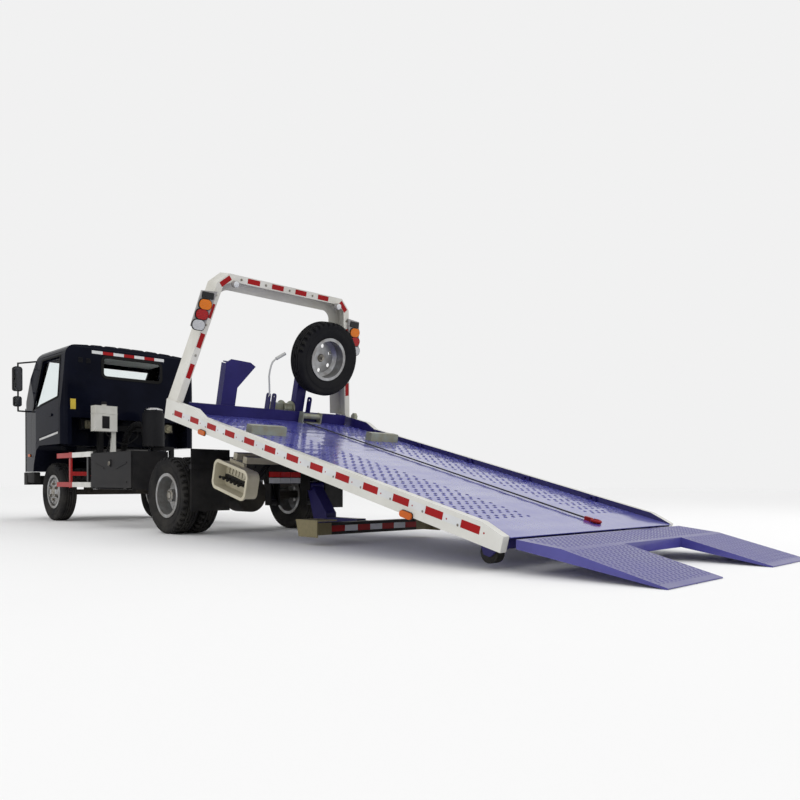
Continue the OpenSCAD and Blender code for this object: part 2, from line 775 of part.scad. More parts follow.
// Doors cut from the cab's skin.
module door(s) {
    color("#12151d") nose() {
        difference() {
            intersection() {
                cab_solid(0);
                across(s * (cab_y - 70), s * (cab_y + 10)) rounded(door_outline(door_gap));
            }
            cab_solid(cab_t);
            across(s * 600, s * (cab_y + 10)) rounded(window_outline(0));
        }
        across(s * (cab_y - 1), s * (cab_y + 14)) rounded(panel(handle[0], handle[1], handle[2], handle[3], 17));
    }
}

module door_glass(s) {
    color("#30383c", 0.5) nose() {
        difference() {
            intersection() {
                cab_solid(cab_t);
                across(s * 600, s * (cab_y + 10)) rounded(window_outline(14));
            }
            cab_solid(cab_t + 6);
        }
    }
}

module door_left() { door(1); }
module door_right() { door(-1); }
module door_left_glass() { door_glass(1); }
module door_right_glass() { door_glass(-1); }

// Frame that tilts on the chassis tail and guides the bed's runners.
module tilt_frame() {
    color("#26292e") bed() {
        difference() {
            union() {
                for (s = [-1, 1]) {
                    difference() {
                        bar(sub_rear, sub_front, s * (sub_y - 60), s * sub_y, -sub_low, -sub_high);
                        bar(sub_rear - 1, sub_front + 1, s * (sub_y - 48), s * (sub_y + 1), -sub_low + 12,
                            -sub_high - 12);
                    }
                    bar(sub_rear, sub_front, s * (sub_y - 60), s * sub_y, -sub_high, -beam_low - 0.5);
                    bar(pivot_u - 42, pivot_u + 42, s * 240, s * 262, pivot_w, -sub_low + 10);
                    pin(pivot_u, pivot_w, 42, s * 240, s * 262);
                    for (y = [lift_y - 52, lift_y + 40]) {
                        bar(eye_u - 40, eye_u + 40, s * y, s * (y + 12), eye_w, -sub_low + 10);
                        pin(eye_u, eye_w, 36, s * y, s * (y + 12));
                    }
                    pin(eye_u, eye_w, 16, s * (lift_y - 50), s * (lift_y + 50));
                }
                for (u = [pivot_u, eye_u, 4500, sub_front - 60]) {
                    bar(u - 50, u + 50, -sub_y + 50, sub_y - 50, -sub_low, -172);
                    bar(u - 30, u + 30, -60, 60, -174, ram_w - 10);
                }
            }
            for (s = [-1, 1]) {
                pin(pivot_u, pivot_w, 20 + fit, s * 200, s * 300);
            }
            rod(sub_rear - 100, sub_front + 100, 0, ram_w, ram_r + 8 + fit);
        }
    }
}

// Valve chest with its levers, beside the tilt frame.
module control_box() {
    rear = pivot_u - 152;
    color("#e4ddc6") bed() {
        difference() {
            union() {
                across(770, 905) rounded(panel(rear, -575, rear + 530, -330, 60));
                across(889, 905) rounded(panel(rear - 14, -589, rear + 544, -316, 74));
            }
            across(782, 906) rounded(panel(rear + 14, -561, rear + 516, -344, 46));
            for (k = [0:5]) {
                bar(rear + 190 + 52 * k, rear + 206 + 52 * k, 760, 790, -440, -362);
            }
        }
        for (u = [rear + 230, rear + 390]) {
            bar(u, u + 60, sub_y - 20, 772, -300, -sub_low);
        }
        bar(rear + 225, rear + 455, 770, 800, -331, -299);
    }
}

// Levers of the valve chest.
module control_levers() {
    rear = pivot_u - 152;
    color("#151618") bed() {
        bar(rear + 120, rear + 490, 782, 806, -500, -452);
        for (k = [0:5]) {
            pin(rear + 145 + 62 * k, -476, 7, 800, 876);
            translate([rear + 145 + 62 * k, 878, -476]) sphere(r = 14);
        }
    }
}

// Barrel of the slide cylinder.
module slide_barrel() {
    color("#3b3e42") bed() {
        difference() {
            rod(sub_rear + 20, sub_front + 20, 0, ram_w, ram_r + 8);
            rod(sub_rear, sub_front - 2, 0, ram_w, 24);
        }
    }
}

// Rod of the slide cylinder.
module slide_rod() {
    color("#c9ccd0") bed() {
        rod(460, sub_rear + 120, 0, ram_w, 22);
    }
}

// Deck plate.
module bed_deck() {
    color("#3a3fa8") bed() {
        bar(0, bed_len, -deck_y, deck_y, -deck_t, 0);
    }
}

// Cross beams, runners, ramp hinge lugs and roller brackets under the deck.
module bed_frame() {
    color("#2c2f86") bed() {
        for (i = [0:beam_n - 1]) {
            u = 40 + i * (bed_len - 100) / (beam_n - 1);
            bar(u, u + 60, -deck_y, deck_y, -beam_low, -deck_t);
        }
        for (s = [-1, 1]) {
            bar(300, bed_len, s * runner_y, s * (runner_y + 60), -runner_low, -beam_low + 1);
            bar(300, bed_len, s * (sub_y - 34), s * (runner_y + 1), -sub_high - 30, -sub_high - 18);
            for (y = [300, 800], d = [-46, 34]) {
                bar(hinge_u, 50, s * y + d, s * y + d + 12, hinge_w - 17, -12);
                translate([hinge_u, s * y + d, hinge_w]) rotate([-90, 0, 0]) cylinder(r = 17, h = 12);
            }
            for (y = [300, 800]) {
                pin(hinge_u, hinge_w, 12 - fit, s * y - 40, s * y + 40);
            }
            for (d = [-52, 40]) {
                slab([[50, -beam_low + 18], [roller_u - 25, roller_w - 18], [roller_u + 25, roller_w - 18],
                    [roller_u + 90, -beam_low + 18]], s * roller_y + d, s * roller_y + d + 12);
            }
            pin(roller_u, roller_w, 12, s * roller_y - 50, s * roller_y + 50);
            bar(50, roller_u + 90, s * (roller_y - 55), s * (roller_y + 55), -beam_low + 14, -beam_low + 26);
        }
        bar(430, 460, -45, 45, ram_w - 35, -beam_low + 1);
        bar(430, 560, -45, 45, -beam_low - 12, -beam_low + 12);
    }
}

// Side rails with the raised part beside the headboard.
module bed_rails() {
    color("#e9e8e2") bed() {
        for (s = [-1, 1]) {
            difference() {
                slab([[10, -side_down], [bed_len, -side_down], [bed_len, side_up + side_step],
                    [head_u - 348, side_up + side_step], [head_u - 493, side_up], [180, side_up], [10, 4]], s * deck_y, s * bed_y);
                bar(200, bed_len + 1, s * (deck_y + 6), s * (bed_y - 6), -side_down + 6, side_up - 6);
            }
        }
    }
}

// Headboard outline, drawn in by d.
function head_arch(d) = [[d - head_foot, head_base], [d - head_mid, head_bend - 0.2 * d],
    [0.75 * d - head_top, head_h - d], [head_top - 0.75 * d, head_h - d], [head_mid - d, head_bend - 0.2 * d],
    [head_foot - d, head_base]];

// Bent headboard, a channel open towards the middle, with a deeper flange in front.
module headboard() {
    d = head_front;
    color("#e9e8e2") bed() {
        difference() {
            plate(head_arch(0), head_u, head_u + head_d);
            plate(head_arch(6), head_u + 6, head_u + head_d - 6);
            plate(head_arch(head_flange), head_u - 1, head_u + head_d - 6);
            ahead(head_u + head_d - 7, head_u + head_d + 1) rounded([[d - head_foot, head_base - 1, 0],
                [d - head_mid - 10, head_h - d, 110], [head_mid + 10 - d, head_h - d, 110],
                [head_foot - d, head_base - 1, 0]]);
        }
        for (s = [-1, 1]) {
            bar(head_u, head_u + head_d, s * (head_foot - head_flange), s * bed_y, head_base, head_base + 8);
        }
    }
}

// Place of a lamp on the post at height w, from the middle plane.
function lamp_y(w) = head_foot - (head_foot - head_mid) * (w - head_base) / (head_bend - head_base) + 60;

// Lamp boxes on the posts and work lamps under the top bar.
module headboard_lamps() {
    color("#3a3c3f") bed() {
        for (s = [-1, 1]) {
            plate([[s * (lamp_y(1146) - 82), 1146], [s * (lamp_y(1133) + 72), 1133], [s * (lamp_y(800) + 62), 800],
                [s * (lamp_y(775) - 72), 775]], head_u - 22, head_u);
            rod(head_u - 46, head_u, s * 630, head_h - 88, 32);
        }
    }
}

// Lenses of the lamp boxes: a square reflector over three ovals.
module headboard_lenses() {
    color("#b5541c") bed() {
        for (s = [-1, 1]) {
            for (w = [821, 919, 1013]) {
                y = s * lamp_y(w);
                ahead(head_u - 38, head_u - 22) rounded(panel(y - 62, w - 45, y + 62, w + 45, 44));
            }
            ahead(head_u - 30, head_u - 22) rounded(panel(s * lamp_y(1096) - 60, 1066, s * lamp_y(1096) + 60, 1126, 8));
        }
    }
}

// Cross wall with its column, lugs and spare wheel post at the front of the deck.
module front_gear() {
    lug = [[-30, 0, 0], [36, 0, 0], [36, 263, 30], [-30, 263, 30]];
    color("#2c2f86") bed() {
        translate([head_u, 0, 0]) {
            bar(-60, -30, -960, 960, 0, 105);
            plate([[456, 0], [612, 0], [618, 512], [562, 552], [345, 543], [281, 509], [456, 283]], -30, -18);
            bar(-30, 60, 604, 616, 0, 505);
            bar(-30, 60, 470, 482, 0, 270);
            bar(-18, 60, 300, 600, 512, 524);
            difference() {
                for (y = [-20, 50, -480]) {
                    across(y, y + 14) rounded(lug);
                }
                pin(4, 230, 13, -600, 100);
            }
            bar(55, 135, -450, -330, 0, 780);
            bar(55, 75, spare_at[1] - 70, -330, spare_at[2] - 80, spare_at[2] + 80);
            rod((spare_at[0] - head_u) + spare_disc + 6, 60, spare_at[1], spare_at[2], 46);
            rod((spare_at[0] - head_u) + 30, (spare_at[0] - head_u) + spare_disc + 10, spare_at[1], spare_at[2], 16);
        }
        for (s = [-1, 1], u = [650:680:head_u - 560]) {
            difference() {
                across(s * (deck_y - 26), s * (deck_y - 12)) rounded([[u, 0, 0], [u + 90, 0, 0], [u + 70, 40, 14],
                    [u + 20, 40, 14]]);
                pin(u + 45, 20, 11, s * (deck_y - 40), s * deck_y);
            }
        }
    }
}

// Spare wheel on its post.
module spare_tyre() {
    color("#2a2a2b") bed() translate(spare_at - [0, 0, axle_z]) rotate([0, 0, -90]) tyre(0, 0, 1);
}

module spare_rim() {
    color("#a9abad") bed() translate(spare_at - [0, 0, axle_z]) rotate([0, 0, -90]) rim(0, 0, 1, spare_disc, -30, 40);
}

// Winch under the spare wheel, with its drum and fairlead.
module winch() {
    color("#9aa0a0") bed() translate([head_u, 0, 0]) {
        pin(110, 110, 55, -310, -200);
        pin(110, 110, 80, -200, -188);
        pin(110, 110, 80, -322, -310);
        bar(60, 160, -188, -60, 60, 160);
        bar(50, 170, -322, -60, 0, 12);
        bar(55, 165, -322, -310, 10, 110);
        bar(55, 165, -200, -188, 10, 110);
        pin(-94, 70, 30, -560, -330);
        for (y = [-572, -330]) {
            bar(-130, -60.3, y, y + 12, 0, 112);
        }
        bar(-130, -60.3, -572, -318, 0, 8);
        bar(-140, -80, -1065, -1020, head_base, head_base + 35);
        pin(-110, head_base + 35, 24, -1060, -1025);
    }
}

// Wire rope with its hook, drawn tight from the fairlead to the tail.
module winch_cable() {
    color("#1d1e20") bed() {
        translate([190, -160, 12]) rotate([0, 90, -atan2(160, head_u - 320)]) cylinder(r = 6, h = head_u - 360);
        bar(184, 236, -176, -150, 0, 24);
        translate([150, -163, 12]) rotate([0, 0, 40]) rotate_extrude(angle = 285) translate([30, 0]) circle(r = 11.5);
        rod(170, 190, -163, 12, 11);
    }
}

// Wheel stops on the deck.
module wheel_stops() {
    color("#b9b48c") bed() translate([head_u, 0, 0]) {
        for (s = [-1, 1]) {
            across(s * 515, s * 885) rounded([[-1008, 0, 0], [-920, 0, 0], [-920, 80, 8], [-1000, 80, 8]]);
        }
    }
}

// Tail ramp: hinge plate and two prongs.
module ramp() {
    front_x = hinge_x - 24;
    top = hinge_z + 28;
    side = [[front_x, top], [front_x - 296, top - 34], [tip_x, 8], [tip_x, 0], [tip_x + 15, 0], [front_x, top - ramp_h]];
    color("#2f33a0") row() {
        difference() {
            union() {
                difference() {
                    slab(side, -ramp_y, ramp_y);
                    bar(tip_x - 10, front_x - 316, -ramp_gap, ramp_gap, -10, top + 10);
                    for (s = [-1, 1]) {
                        translate([-10, 0, -8]) slab(side, s * (ramp_gap + 10), s * (ramp_gap + 320));
                        translate([-10, 0, -8]) slab(side, s * (ramp_gap + 330), s * (ramp_y - 10));
                    }
                }
                for (s = [-1, 1], y = [300, 800]) {
                    pin(hinge_x, hinge_z, 20, s * y - 32, s * y + 32);
                    bar(front_x - 12, hinge_x, s * y - 32, s * y + 32, hinge_z - 16, hinge_z + 16);
                }
            }
            for (s = [-1, 1], y = [300, 800]) {
                pin(hinge_x, hinge_z, 12, s * y - 40, s * y + 40);
            }
        }
    }
}

// Rollers under the tail that meet the ground when the bed is run right out.
module ground_rollers() {
    color("#232427") bed() {
        for (s = [-1, 1]) {
            difference() {
                pin(roller_u, roller_w, 65, s * roller_y - 34, s * roller_y + 34);
                pin(roller_u, roller_w, 12 + fit, s * roller_y - 40, s * roller_y + 40);
            }
        }
    }
}

// Coordinates along the tilt cylinders, from the base pin towards the rod's eye.
module along_lift() {
    row() translate([base_x, 0, base_z]) rotate([0, -lift_slope, 0]) children();
}

// Barrels of the tilt cylinders.
module tilt_barrels() {
    color("#3b3e42") along_lift() {
        for (s = [-1, 1]) {
            difference() {
                union() {
                    rod(20, 372, s * lift_y, 0, lift_r);
                    pin(0, 0, 30, s * (lift_y - 34), s * (lift_y + 34));
                    bar(0, 30, s * (lift_y - 20), s * (lift_y + 20), -25, 25);
                }
                rod(45, 380, s * lift_y, 0, 22 + fit);
                pin(0, 0, 15 + fit, s * (lift_y - 40), s * (lift_y + 40));
            }
        }
    }
}

// Rods of the tilt cylinders.
module tilt_rods() {
    color("#c9ccd0") along_lift() {
        for (s = [-1, 1]) {
            difference() {
                union() {
                    rod(190, lift_len - 20, s * lift_y, 0, 22);
                    pin(lift_len, 0, 34, s * (lift_y - 30), s * (lift_y + 30));
                }
                pin(lift_len, 0, 21, s * (lift_y - 40), s * (lift_y + 40));
            }
        }
    }
}

// Arm of the wheel lift with its hollow boom.
module wheel_lift_arm() {
    color("#2c2f86") row() {
        difference() {
            union() {
                pin(lift_x, lift_z, 45, -80, 80);
                slab([[lift_x - 45, lift_z], [lift_x + 45, lift_z], [lift_x - 90, boom_z - 50], [lift_x - 250, boom_z - 50],
                    [lift_x - 250, boom_z + 90]], -60, 60);
                bar(lift_x - 670, lift_x - 200, -55, 55, boom_z - 50, boom_z + 50);
            }
            pin(lift_x, lift_z, 20 + fit, -90, 90);
            bar(lift_x - 680, lift_x - 160, -42, 42, boom_z - 37, boom_z + 37);
        }
    }
}

// Sliding boom with the crossbar and its end plates.
module wheel_lift_bar() {
    color("#2a2c30") row() {
        bar(bar_x + 30, lift_x - 170, fit - 42, 42 - fit, boom_z - 37 + fit, boom_z + 37 - fit);
        bar(bar_x - 45, bar_x + 45, -bar_y, bar_y, boom_z - 60, boom_z + 40);
        for (s = [-1, 1]) {
            slab([[bar_x - 140, boom_z - 70], [bar_x + 100, boom_z - 70], [bar_x + 140, boom_z + 70],
                [bar_x - 140, boom_z + 70]], s * bar_y, s * (bar_y + 12));
            bar(bar_x - 140, bar_x + 140, s * (bar_y - 200), s * (bar_y + 12), boom_z + 58, boom_z + 70);
        }
    }
}

chassis_frame();
cab_hoop();
front_axle();
rear_axle();
leaf_springs();
engine();
driveshaft();
fuel_tank();
toolbox();
side_guards();
mud_flaps();
front_bumper();
tail_lamps();
expansion_tank();
air_cleaner();
knuckle_left();
knuckle_right();
front_left_tyre();
front_left_rim();
front_right_tyre();
front_right_rim();
rear_left_tyres();
rear_left_rims();
rear_right_tyres();
rear_right_rims();
cab_shell();
cab_glass();
cab_interior();
grille();
headlamps();
mirrors();
door_left();
door_right();
door_left_glass();
door_right_glass();
tilt_frame();
control_box();
control_levers();
slide_barrel();
bed_deck();
bed_frame();
bed_rails();
headboard();
headboard_lamps();
headboard_lenses();
front_gear();
spare_tyre();
spare_rim();
winch();
winch_cable();
wheel_stops();
slide_rod();
ramp();
ground_rollers();
tilt_barrels();
tilt_rods();
wheel_lift_arm();
wheel_lift_bar();
toolbox_door();
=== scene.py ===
import json
import math

import bmesh
import bpy
from mathutils import Matrix, Vector


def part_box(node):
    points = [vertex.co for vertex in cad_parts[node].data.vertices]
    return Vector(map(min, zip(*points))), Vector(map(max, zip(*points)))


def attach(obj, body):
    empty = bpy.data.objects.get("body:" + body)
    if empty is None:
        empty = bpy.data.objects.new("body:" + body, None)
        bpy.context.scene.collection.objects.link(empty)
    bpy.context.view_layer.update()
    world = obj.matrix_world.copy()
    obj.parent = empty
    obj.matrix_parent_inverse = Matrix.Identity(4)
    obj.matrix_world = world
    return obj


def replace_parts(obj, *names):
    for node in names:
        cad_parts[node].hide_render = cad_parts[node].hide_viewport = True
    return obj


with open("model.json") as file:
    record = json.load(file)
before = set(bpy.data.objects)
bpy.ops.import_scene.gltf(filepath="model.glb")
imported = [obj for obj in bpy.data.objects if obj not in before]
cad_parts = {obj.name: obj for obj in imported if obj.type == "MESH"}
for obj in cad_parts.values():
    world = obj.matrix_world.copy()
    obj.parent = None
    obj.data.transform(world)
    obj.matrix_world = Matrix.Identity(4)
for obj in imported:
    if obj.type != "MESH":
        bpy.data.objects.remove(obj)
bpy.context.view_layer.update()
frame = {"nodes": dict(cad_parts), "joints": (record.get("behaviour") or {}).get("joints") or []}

# Studio: a plain pale floor under two large soft lamps, with an even pale surround.
# The camera stands close to the ground, behind the left rear corner of the truck.
SKY_LIGHT, SKY_SEEN = (0.99, 0.99, 0.99, 1.0), (0.88, 0.88, 0.88, 1.0)
FLOOR_DARK, FLOOR_PALE = (0.87, 0.87, 0.87, 1.0), (0.89, 0.89, 0.89, 1.0)
FLOOR_REACH = 70.0
EYE_PLACE, EYE_YAW, EYE_PITCH, EYE_ROLL = (-6.441, 4.522, 0.516), -44.26, -0.73, 0.17
EYE_LENS, EYE_SHIFT, EYE_REACH = 33.68, (0.0143, 0.1151), 300.0
scene = bpy.context.scene
scene.view_settings.view_transform = "Standard"


def add(tree, kind, wires, **settings):
    """Puts a shader node in a tree, with its settings made and its inputs wired or set."""
    node = tree.nodes.new("ShaderNode" + kind)
    for key, value in settings.items():
        setattr(node, key, value)
    for key, value in wires.items():
        if isinstance(value, bpy.types.NodeSocket):
            tree.links.new(value, node.inputs[key])
        else:
            node.inputs[key].default_value = value
    return node


def figure(tree, operation, *values):
    """Result of one sum on shader values."""
    return add(tree, "Math", dict(enumerate(values)), operation=operation).outputs[0]


def blend(tree, share, first, second):
    """Colour between two colours."""
    return add(tree, "Mix", {0: share, 6: first, 7: second}, data_type="RGBA").outputs[2]


def workings(finish):
    """Tree of a finish, its shader and its object coordinates."""
    tree = finish.node_tree
    return tree, tree.nodes["Principled BSDF"], add(tree, "TexCoord", {}).outputs["Object"]


surround = bpy.data.worlds.new("surround")
scene.world = surround
surround.use_nodes = True
air = surround.node_tree
lit = air.nodes["Background"]
lit.inputs["Color"].default_value = SKY_LIGHT
lit.inputs["Strength"].default_value = 1.0
seen = add(air, "Background", {"Color": SKY_SEEN, "Strength": 1.0})
rays = add(air, "LightPath", {}).outputs
direct = figure(air, "MAXIMUM", rays["Is Camera Ray"], rays["Is Glossy Ray"])
through = figure(air, "MAXIMUM", direct, rays["Is Transmission Ray"])
choice = add(air, "MixShader", {0: through, 1: lit.outputs[0], 2: seen.outputs[0]})
air.links.new(choice.outputs[0], air.nodes["World Output"].inputs["Surface"])

floor_paint = bpy.data.materials.new("floor_paint")
floor_paint.use_nodes = True
floor_tree, floor_shader, floor_place = workings(floor_paint)
floor_shader.inputs["Roughness"].default_value = 0.9
floor_shader.inputs["Specular IOR Level"].default_value = 0.1
floor_cloud = add(floor_tree, "TexNoise", {"Vector": floor_place, "Scale": 0.6, "Detail": 3.0}).outputs[0]
floor_tone = blend(floor_tree, floor_cloud, FLOOR_DARK, FLOOR_PALE)
floor_tree.links.new(floor_tone, floor_shader.inputs["Base Color"])
ground = bmesh.new()
bmesh.ops.create_grid(ground, x_segments=2, y_segments=2, size=FLOOR_REACH)
floor_mesh = bpy.data.meshes.new("floor")
ground.to_mesh(floor_mesh)
ground.free()
floor_mesh.materials.append(floor_paint)
floor = bpy.data.objects.new("floor", floor_mesh)
scene.collection.objects.link(floor)


def lamp(name, place, aim, size, power):
    """Hangs a square soft lamp that faces a point of the truck."""
    light = bpy.data.lights.new(name, "AREA")
    light.size = size
    light.energy = power
    hung = bpy.data.objects.new(name, light)
    turn = (Vector(aim) - Vector(place)).to_track_quat("-Z", "Y").to_matrix().to_4x4()
    hung.matrix_world = Matrix.Translation(place) @ turn
    scene.collection.objects.link(hung)


lamp("key_lamp", (-8.0, -7.0, 9.0), (-0.5, 0.0, 0.8), 6.0, 220.0)
lamp("fill_lamp", (-3.0, 11.0, 5.0), (0.0, 0.0, 1.0), 6.0, 80.0)

lens = bpy.data.cameras.new("camera")
lens.sensor_width = 36.0
lens.lens = EYE_LENS
lens.shift_x, lens.shift_y = EYE_SHIFT
lens.clip_end = EYE_REACH
yaw = math.radians(EYE_YAW)
gaze = Vector((math.cos(yaw), math.sin(yaw), math.tan(math.radians(EYE_PITCH))))
camera = bpy.data.objects.new("camera", lens)
camera.matrix_world = (Matrix.Translation(EYE_PLACE) @ gaze.to_track_quat("-Z", "Y").to_matrix().to_4x4()
                       @ Matrix.Rotation(math.radians(EYE_ROLL), 4, "Z"))
scene.collection.objects.link(camera)
scene.camera = camera

# Ladder frame: pressed steel channels, cross members and brackets, riveted and painted black.
# Road dirt settles on what faces up and is thrown on what hangs low.
DUST = (0.23, 0.21, 0.18, 1.0)
FRAME_TOP, FRAME_SIDE = 0.7, 0.35
RIVET_START, RIVET_STEP, RIVET_COUNT = 0.6, 0.2, 24


def spread(tree, value, low, high, first=0.0, last=1.0):
    """Shader value between two limits, spread over another range."""
    return add(tree, "MapRange", {"Value": value, "From Min": low, "From Max": high, "To Min": first,
                                  "To Max": last}).outputs[0]


def raised(tree, shader, height, strength, distance):
    """Raises the surface by a shader value, in place of what raised it before."""
    bump = add(tree, "Bump", {"Strength": strength, "Distance": distance, "Height": height})
    tree.links.new(bump.outputs[0], shader.inputs["Normal"])


def coated(name, colour, faded, rough, metal=0.0, coat=0.0, dust=0.2, mud=0.0, grain=0.0003, patch=3.0,
           speck=160.0, ior=1.45):
    """Finish with cloudy fading, settled dust, thrown dirt, uneven gloss and a fine grain."""
    finish = bpy.data.materials.new(name)
    finish.use_nodes = True
    tree, shader, place = workings(finish)
    shader.inputs["Metallic"].default_value = metal
    shader.inputs["IOR"].default_value = ior
    shader.inputs["Coat Weight"].default_value = coat
    shader.inputs["Coat Roughness"].default_value = 0.06
    cloud = add(tree, "TexNoise", {"Vector": place, "Scale": patch, "Detail": 8.0, "Roughness": 0.62}).outputs[0]
    fine = add(tree, "TexNoise", {"Vector": place, "Scale": speck, "Detail": 3.0}).outputs[0]
    blot = spread(tree, cloud, 0.34, 0.66)
    facing = add(tree, "NewGeometry", {}).outputs["Normal"]
    up = add(tree, "SeparateXYZ", {0: facing}).outputs["Z"]
    height = add(tree, "SeparateXYZ", {0: place}).outputs["Z"]
    settled = spread(tree, up, 0.35, 1.0, 0.0, dust)
    thrown = spread(tree, height, 0.1, 1.1, mud, 0.0)
    soil = figure(tree, "MULTIPLY", figure(tree, "MAXIMUM", settled, thrown), blot)
    tint = blend(tree, blot, (*colour, 1), (*faded, 1))
    tree.links.new(blend(tree, soil, tint, DUST), shader.inputs["Base Color"])
    gloss = spread(tree, cloud, 0.3, 0.7, *rough)
    tree.links.new(figure(tree, "MULTIPLY_ADD", soil, 0.5, gloss), shader.inputs["Roughness"])
    raised(tree, shader, fine, 0.6, grain)
    return finish


def dress(finish, *names):
    """Gives CAD nodes a finish in place of their plain colour."""
    for name in names:
        mesh = frame["nodes"][name].data
        mesh.materials.clear()
        mesh.materials.append(finish)


def part(name, bm, finish, body, place=None, crease=35):
    """Makes a piece of a shape, set in its place, with its finish, on the body that carries it."""
    if place is not None:
        bmesh.ops.transform(bm, matrix=place, verts=bm.verts)
    bmesh.ops.remove_doubles(bm, verts=bm.verts, dist=1e-6)
    bmesh.ops.recalc_face_normals(bm, faces=bm.faces)
    mesh = bpy.data.meshes.new(name)
    bm.to_mesh(mesh)
    bm.free()
    mesh.materials.append(finish)
    mesh.shade_smooth()
    mesh.set_sharp_from_angle(angle=math.radians(crease))
    made = bpy.data.objects.new(name, mesh)
    scene.collection.objects.link(made)
    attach(made, body)
    return made


def at(spot, degrees=0, axis="Z"):
    """Place at a spot, turned about one axis."""
    return Matrix.Translation(spot) @ Matrix.Rotation(math.radians(degrees), 4, axis)


def set_in(bm, known, place):
    """Moves the points of a shape that are not among those known before."""
    bmesh.ops.transform(bm, matrix=place, verts=[v for v in bm.verts if v not in known])


def stub(bm, sides, foot, head, depth, place):
    """Round or edged stub between two radii, about its place and along its Z."""
    bmesh.ops.create_cone(bm, cap_ends=True, segments=sides, radius1=foot, radius2=head, depth=depth, matrix=place)


def bolt(bm, place, size, height):
    """Hexagon head with a washer under it, standing along its place's Z."""
    known = set(bm.verts)
    stub(bm, 12, size * 0.75, size * 0.72, height * 0.25, at((0, 0, height * 0.125)))
    stub(bm, 6, size * 0.56, size * 0.5, height * 0.75, at((0, 0, height * 0.62)))
    set_in(bm, known, place)


frame_black = coated("frame_black", (0.010, 0.010, 0.011), (0.018, 0.018, 0.019), (0.42, 0.6), mud=0.1, ior=1.15)
dress(frame_black, "chassis_frame", "cab_hoop", "mud_flaps")
frame_low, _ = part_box("chassis_frame")
rivets = bmesh.new()
for side in (-1, 1):
    for step in range(RIVET_COUNT):
        for drop in (0.035, 0.125):
            spot = (frame_low.x + RIVET_START + step * RIVET_STEP, side * FRAME_SIDE, FRAME_TOP - drop)
            bolt(rivets, at(spot, -90 * side, "X"), 0.026, 0.012)
part("frame_rivets", rivets, frame_black, "chassis")

# Axles, springs and drive line: forged and cast steel, oily and dusty, hung under the frame.
# Each spring pack is held down on its axle by two U bolts.
CLAMP_ROD = 0.008
cast_steel = coated("cast_steel", (0.022, 0.021, 0.020), (0.05, 0.044, 0.036), (0.5, 0.75), metal=0.3, dust=0.3,
                    mud=0.25, grain=0.0009, speck=120.0, ior=1.17)
spring_steel = coated("spring_steel", (0.02, 0.02, 0.02), (0.06, 0.042, 0.03), (0.5, 0.7), metal=0.5, mud=0.3)
alloy_cast = coated("alloy_cast", (0.16, 0.16, 0.16), (0.09, 0.085, 0.08), (0.45, 0.65), metal=0.7, dust=0.4,
                    grain=0.0012, speck=90.0)
dress(cast_steel, "front_axle", "rear_axle", "driveshaft", "knuckle_left", "knuckle_right")
dress(spring_steel, "leaf_springs")
dress(alloy_cast, "engine")


def block(bm, low, high, edge=0.002, segments=2):
    """Bar or plate between two corners, with its edges broken."""
    low, high = Vector(low), Vector(high)
    size = high - low
    made = bmesh.ops.create_cube(bm, size=1.0, matrix=at((low + high) / 2) @ Matrix.Diagonal((*size, 1.0)))
    rims = list({e for v in made["verts"] for e in v.link_edges})
    bmesh.ops.bevel(bm, geom=rims, offset=min(edge, min(size) * 0.4), segments=segments, profile=0.5,
                    affect="EDGES", material=-1)


clamps = bmesh.new()
for axle_x, seat_z in ((0.4, 0.452), (3.76, 0.437)):
    for side in (-1, 1):
        for leg in (-0.05, 0.05):
            rod_x, middle_y = axle_x + leg, side * 0.316
            for y in (0.28, 0.352):
                stub(clamps, 10, CLAMP_ROD, CLAMP_ROD, 0.12, at((rod_x, side * y, seat_z)))
            block(clamps, (rod_x - CLAMP_ROD, middle_y - 0.044, seat_z + 0.05),
                  (rod_x + CLAMP_ROD, middle_y + 0.044, seat_z + 0.066), 0.005)
part("spring_clamps", clamps, spring_steel, "chassis")

# Tyres: black rubber with four grooves, cross slots in the shoulders and a rib that guards the wall.
# One tyre is turned as a ring, slotted, and set on each rim, twins side by side, and on the spare.
TYRE_STEPS, SLOT_DEPTH = 108, 0.004
TREAD_R, WALL_Y = 0.382, 0.095
SPARE_SPOT = (3.83, -0.5, 0.69)
rubber = coated("rubber", (0.011, 0.011, 0.013), (0.019, 0.019, 0.019), (0.7, 0.88), dust=0.06, mud=0.12,
                grain=0.0006, patch=5.0, speck=240.0, ior=1.15)
outer = [(0.2033, -0.068), (0.213, -0.0705), (0.226, -0.0702), (0.244, -0.080), (0.272, -0.0905), (0.298, -0.0945),
         (0.303, -0.0946), (0.305, -0.092), (0.334, -0.0925), (0.340, -0.0948), (0.352, -0.092), (0.366, -0.0855),
         (0.376, -0.077), (0.3800, -0.067), (0.3805, -0.050), (0.369, -0.048), (0.369, -0.041), (0.3812, -0.039),
         (0.3815, -0.020), (0.370, -0.018), (0.370, -0.011), (TREAD_R, -0.009)]
inner = [(0.2035, 0.054), (0.230, 0.057), (0.298, 0.080), (0.337, 0.080), (0.357, 0.066)]
section = outer + [(r, -y) for r, y in reversed(outer)] + inner + [(r, -y) for r, y in reversed(inner)]


def turned(bm, section, steps, place=None):
    """Turns a closed section of radius and distance about the local Y axis."""
    known = set(bm.verts)
    points = [bm.verts.new((r, y, 0.0)) for r, y in section]
    lines = [bm.edges.new(pair) for pair in zip(points, points[1:] + points[:1])]
    bmesh.ops.spin(bm, geom=points + lines, cent=(0, 0, 0), axis=(0, 1, 0), angle=math.tau, steps=steps,
                   use_merge=True)
    if place is not None:
        set_in(bm, known, place)


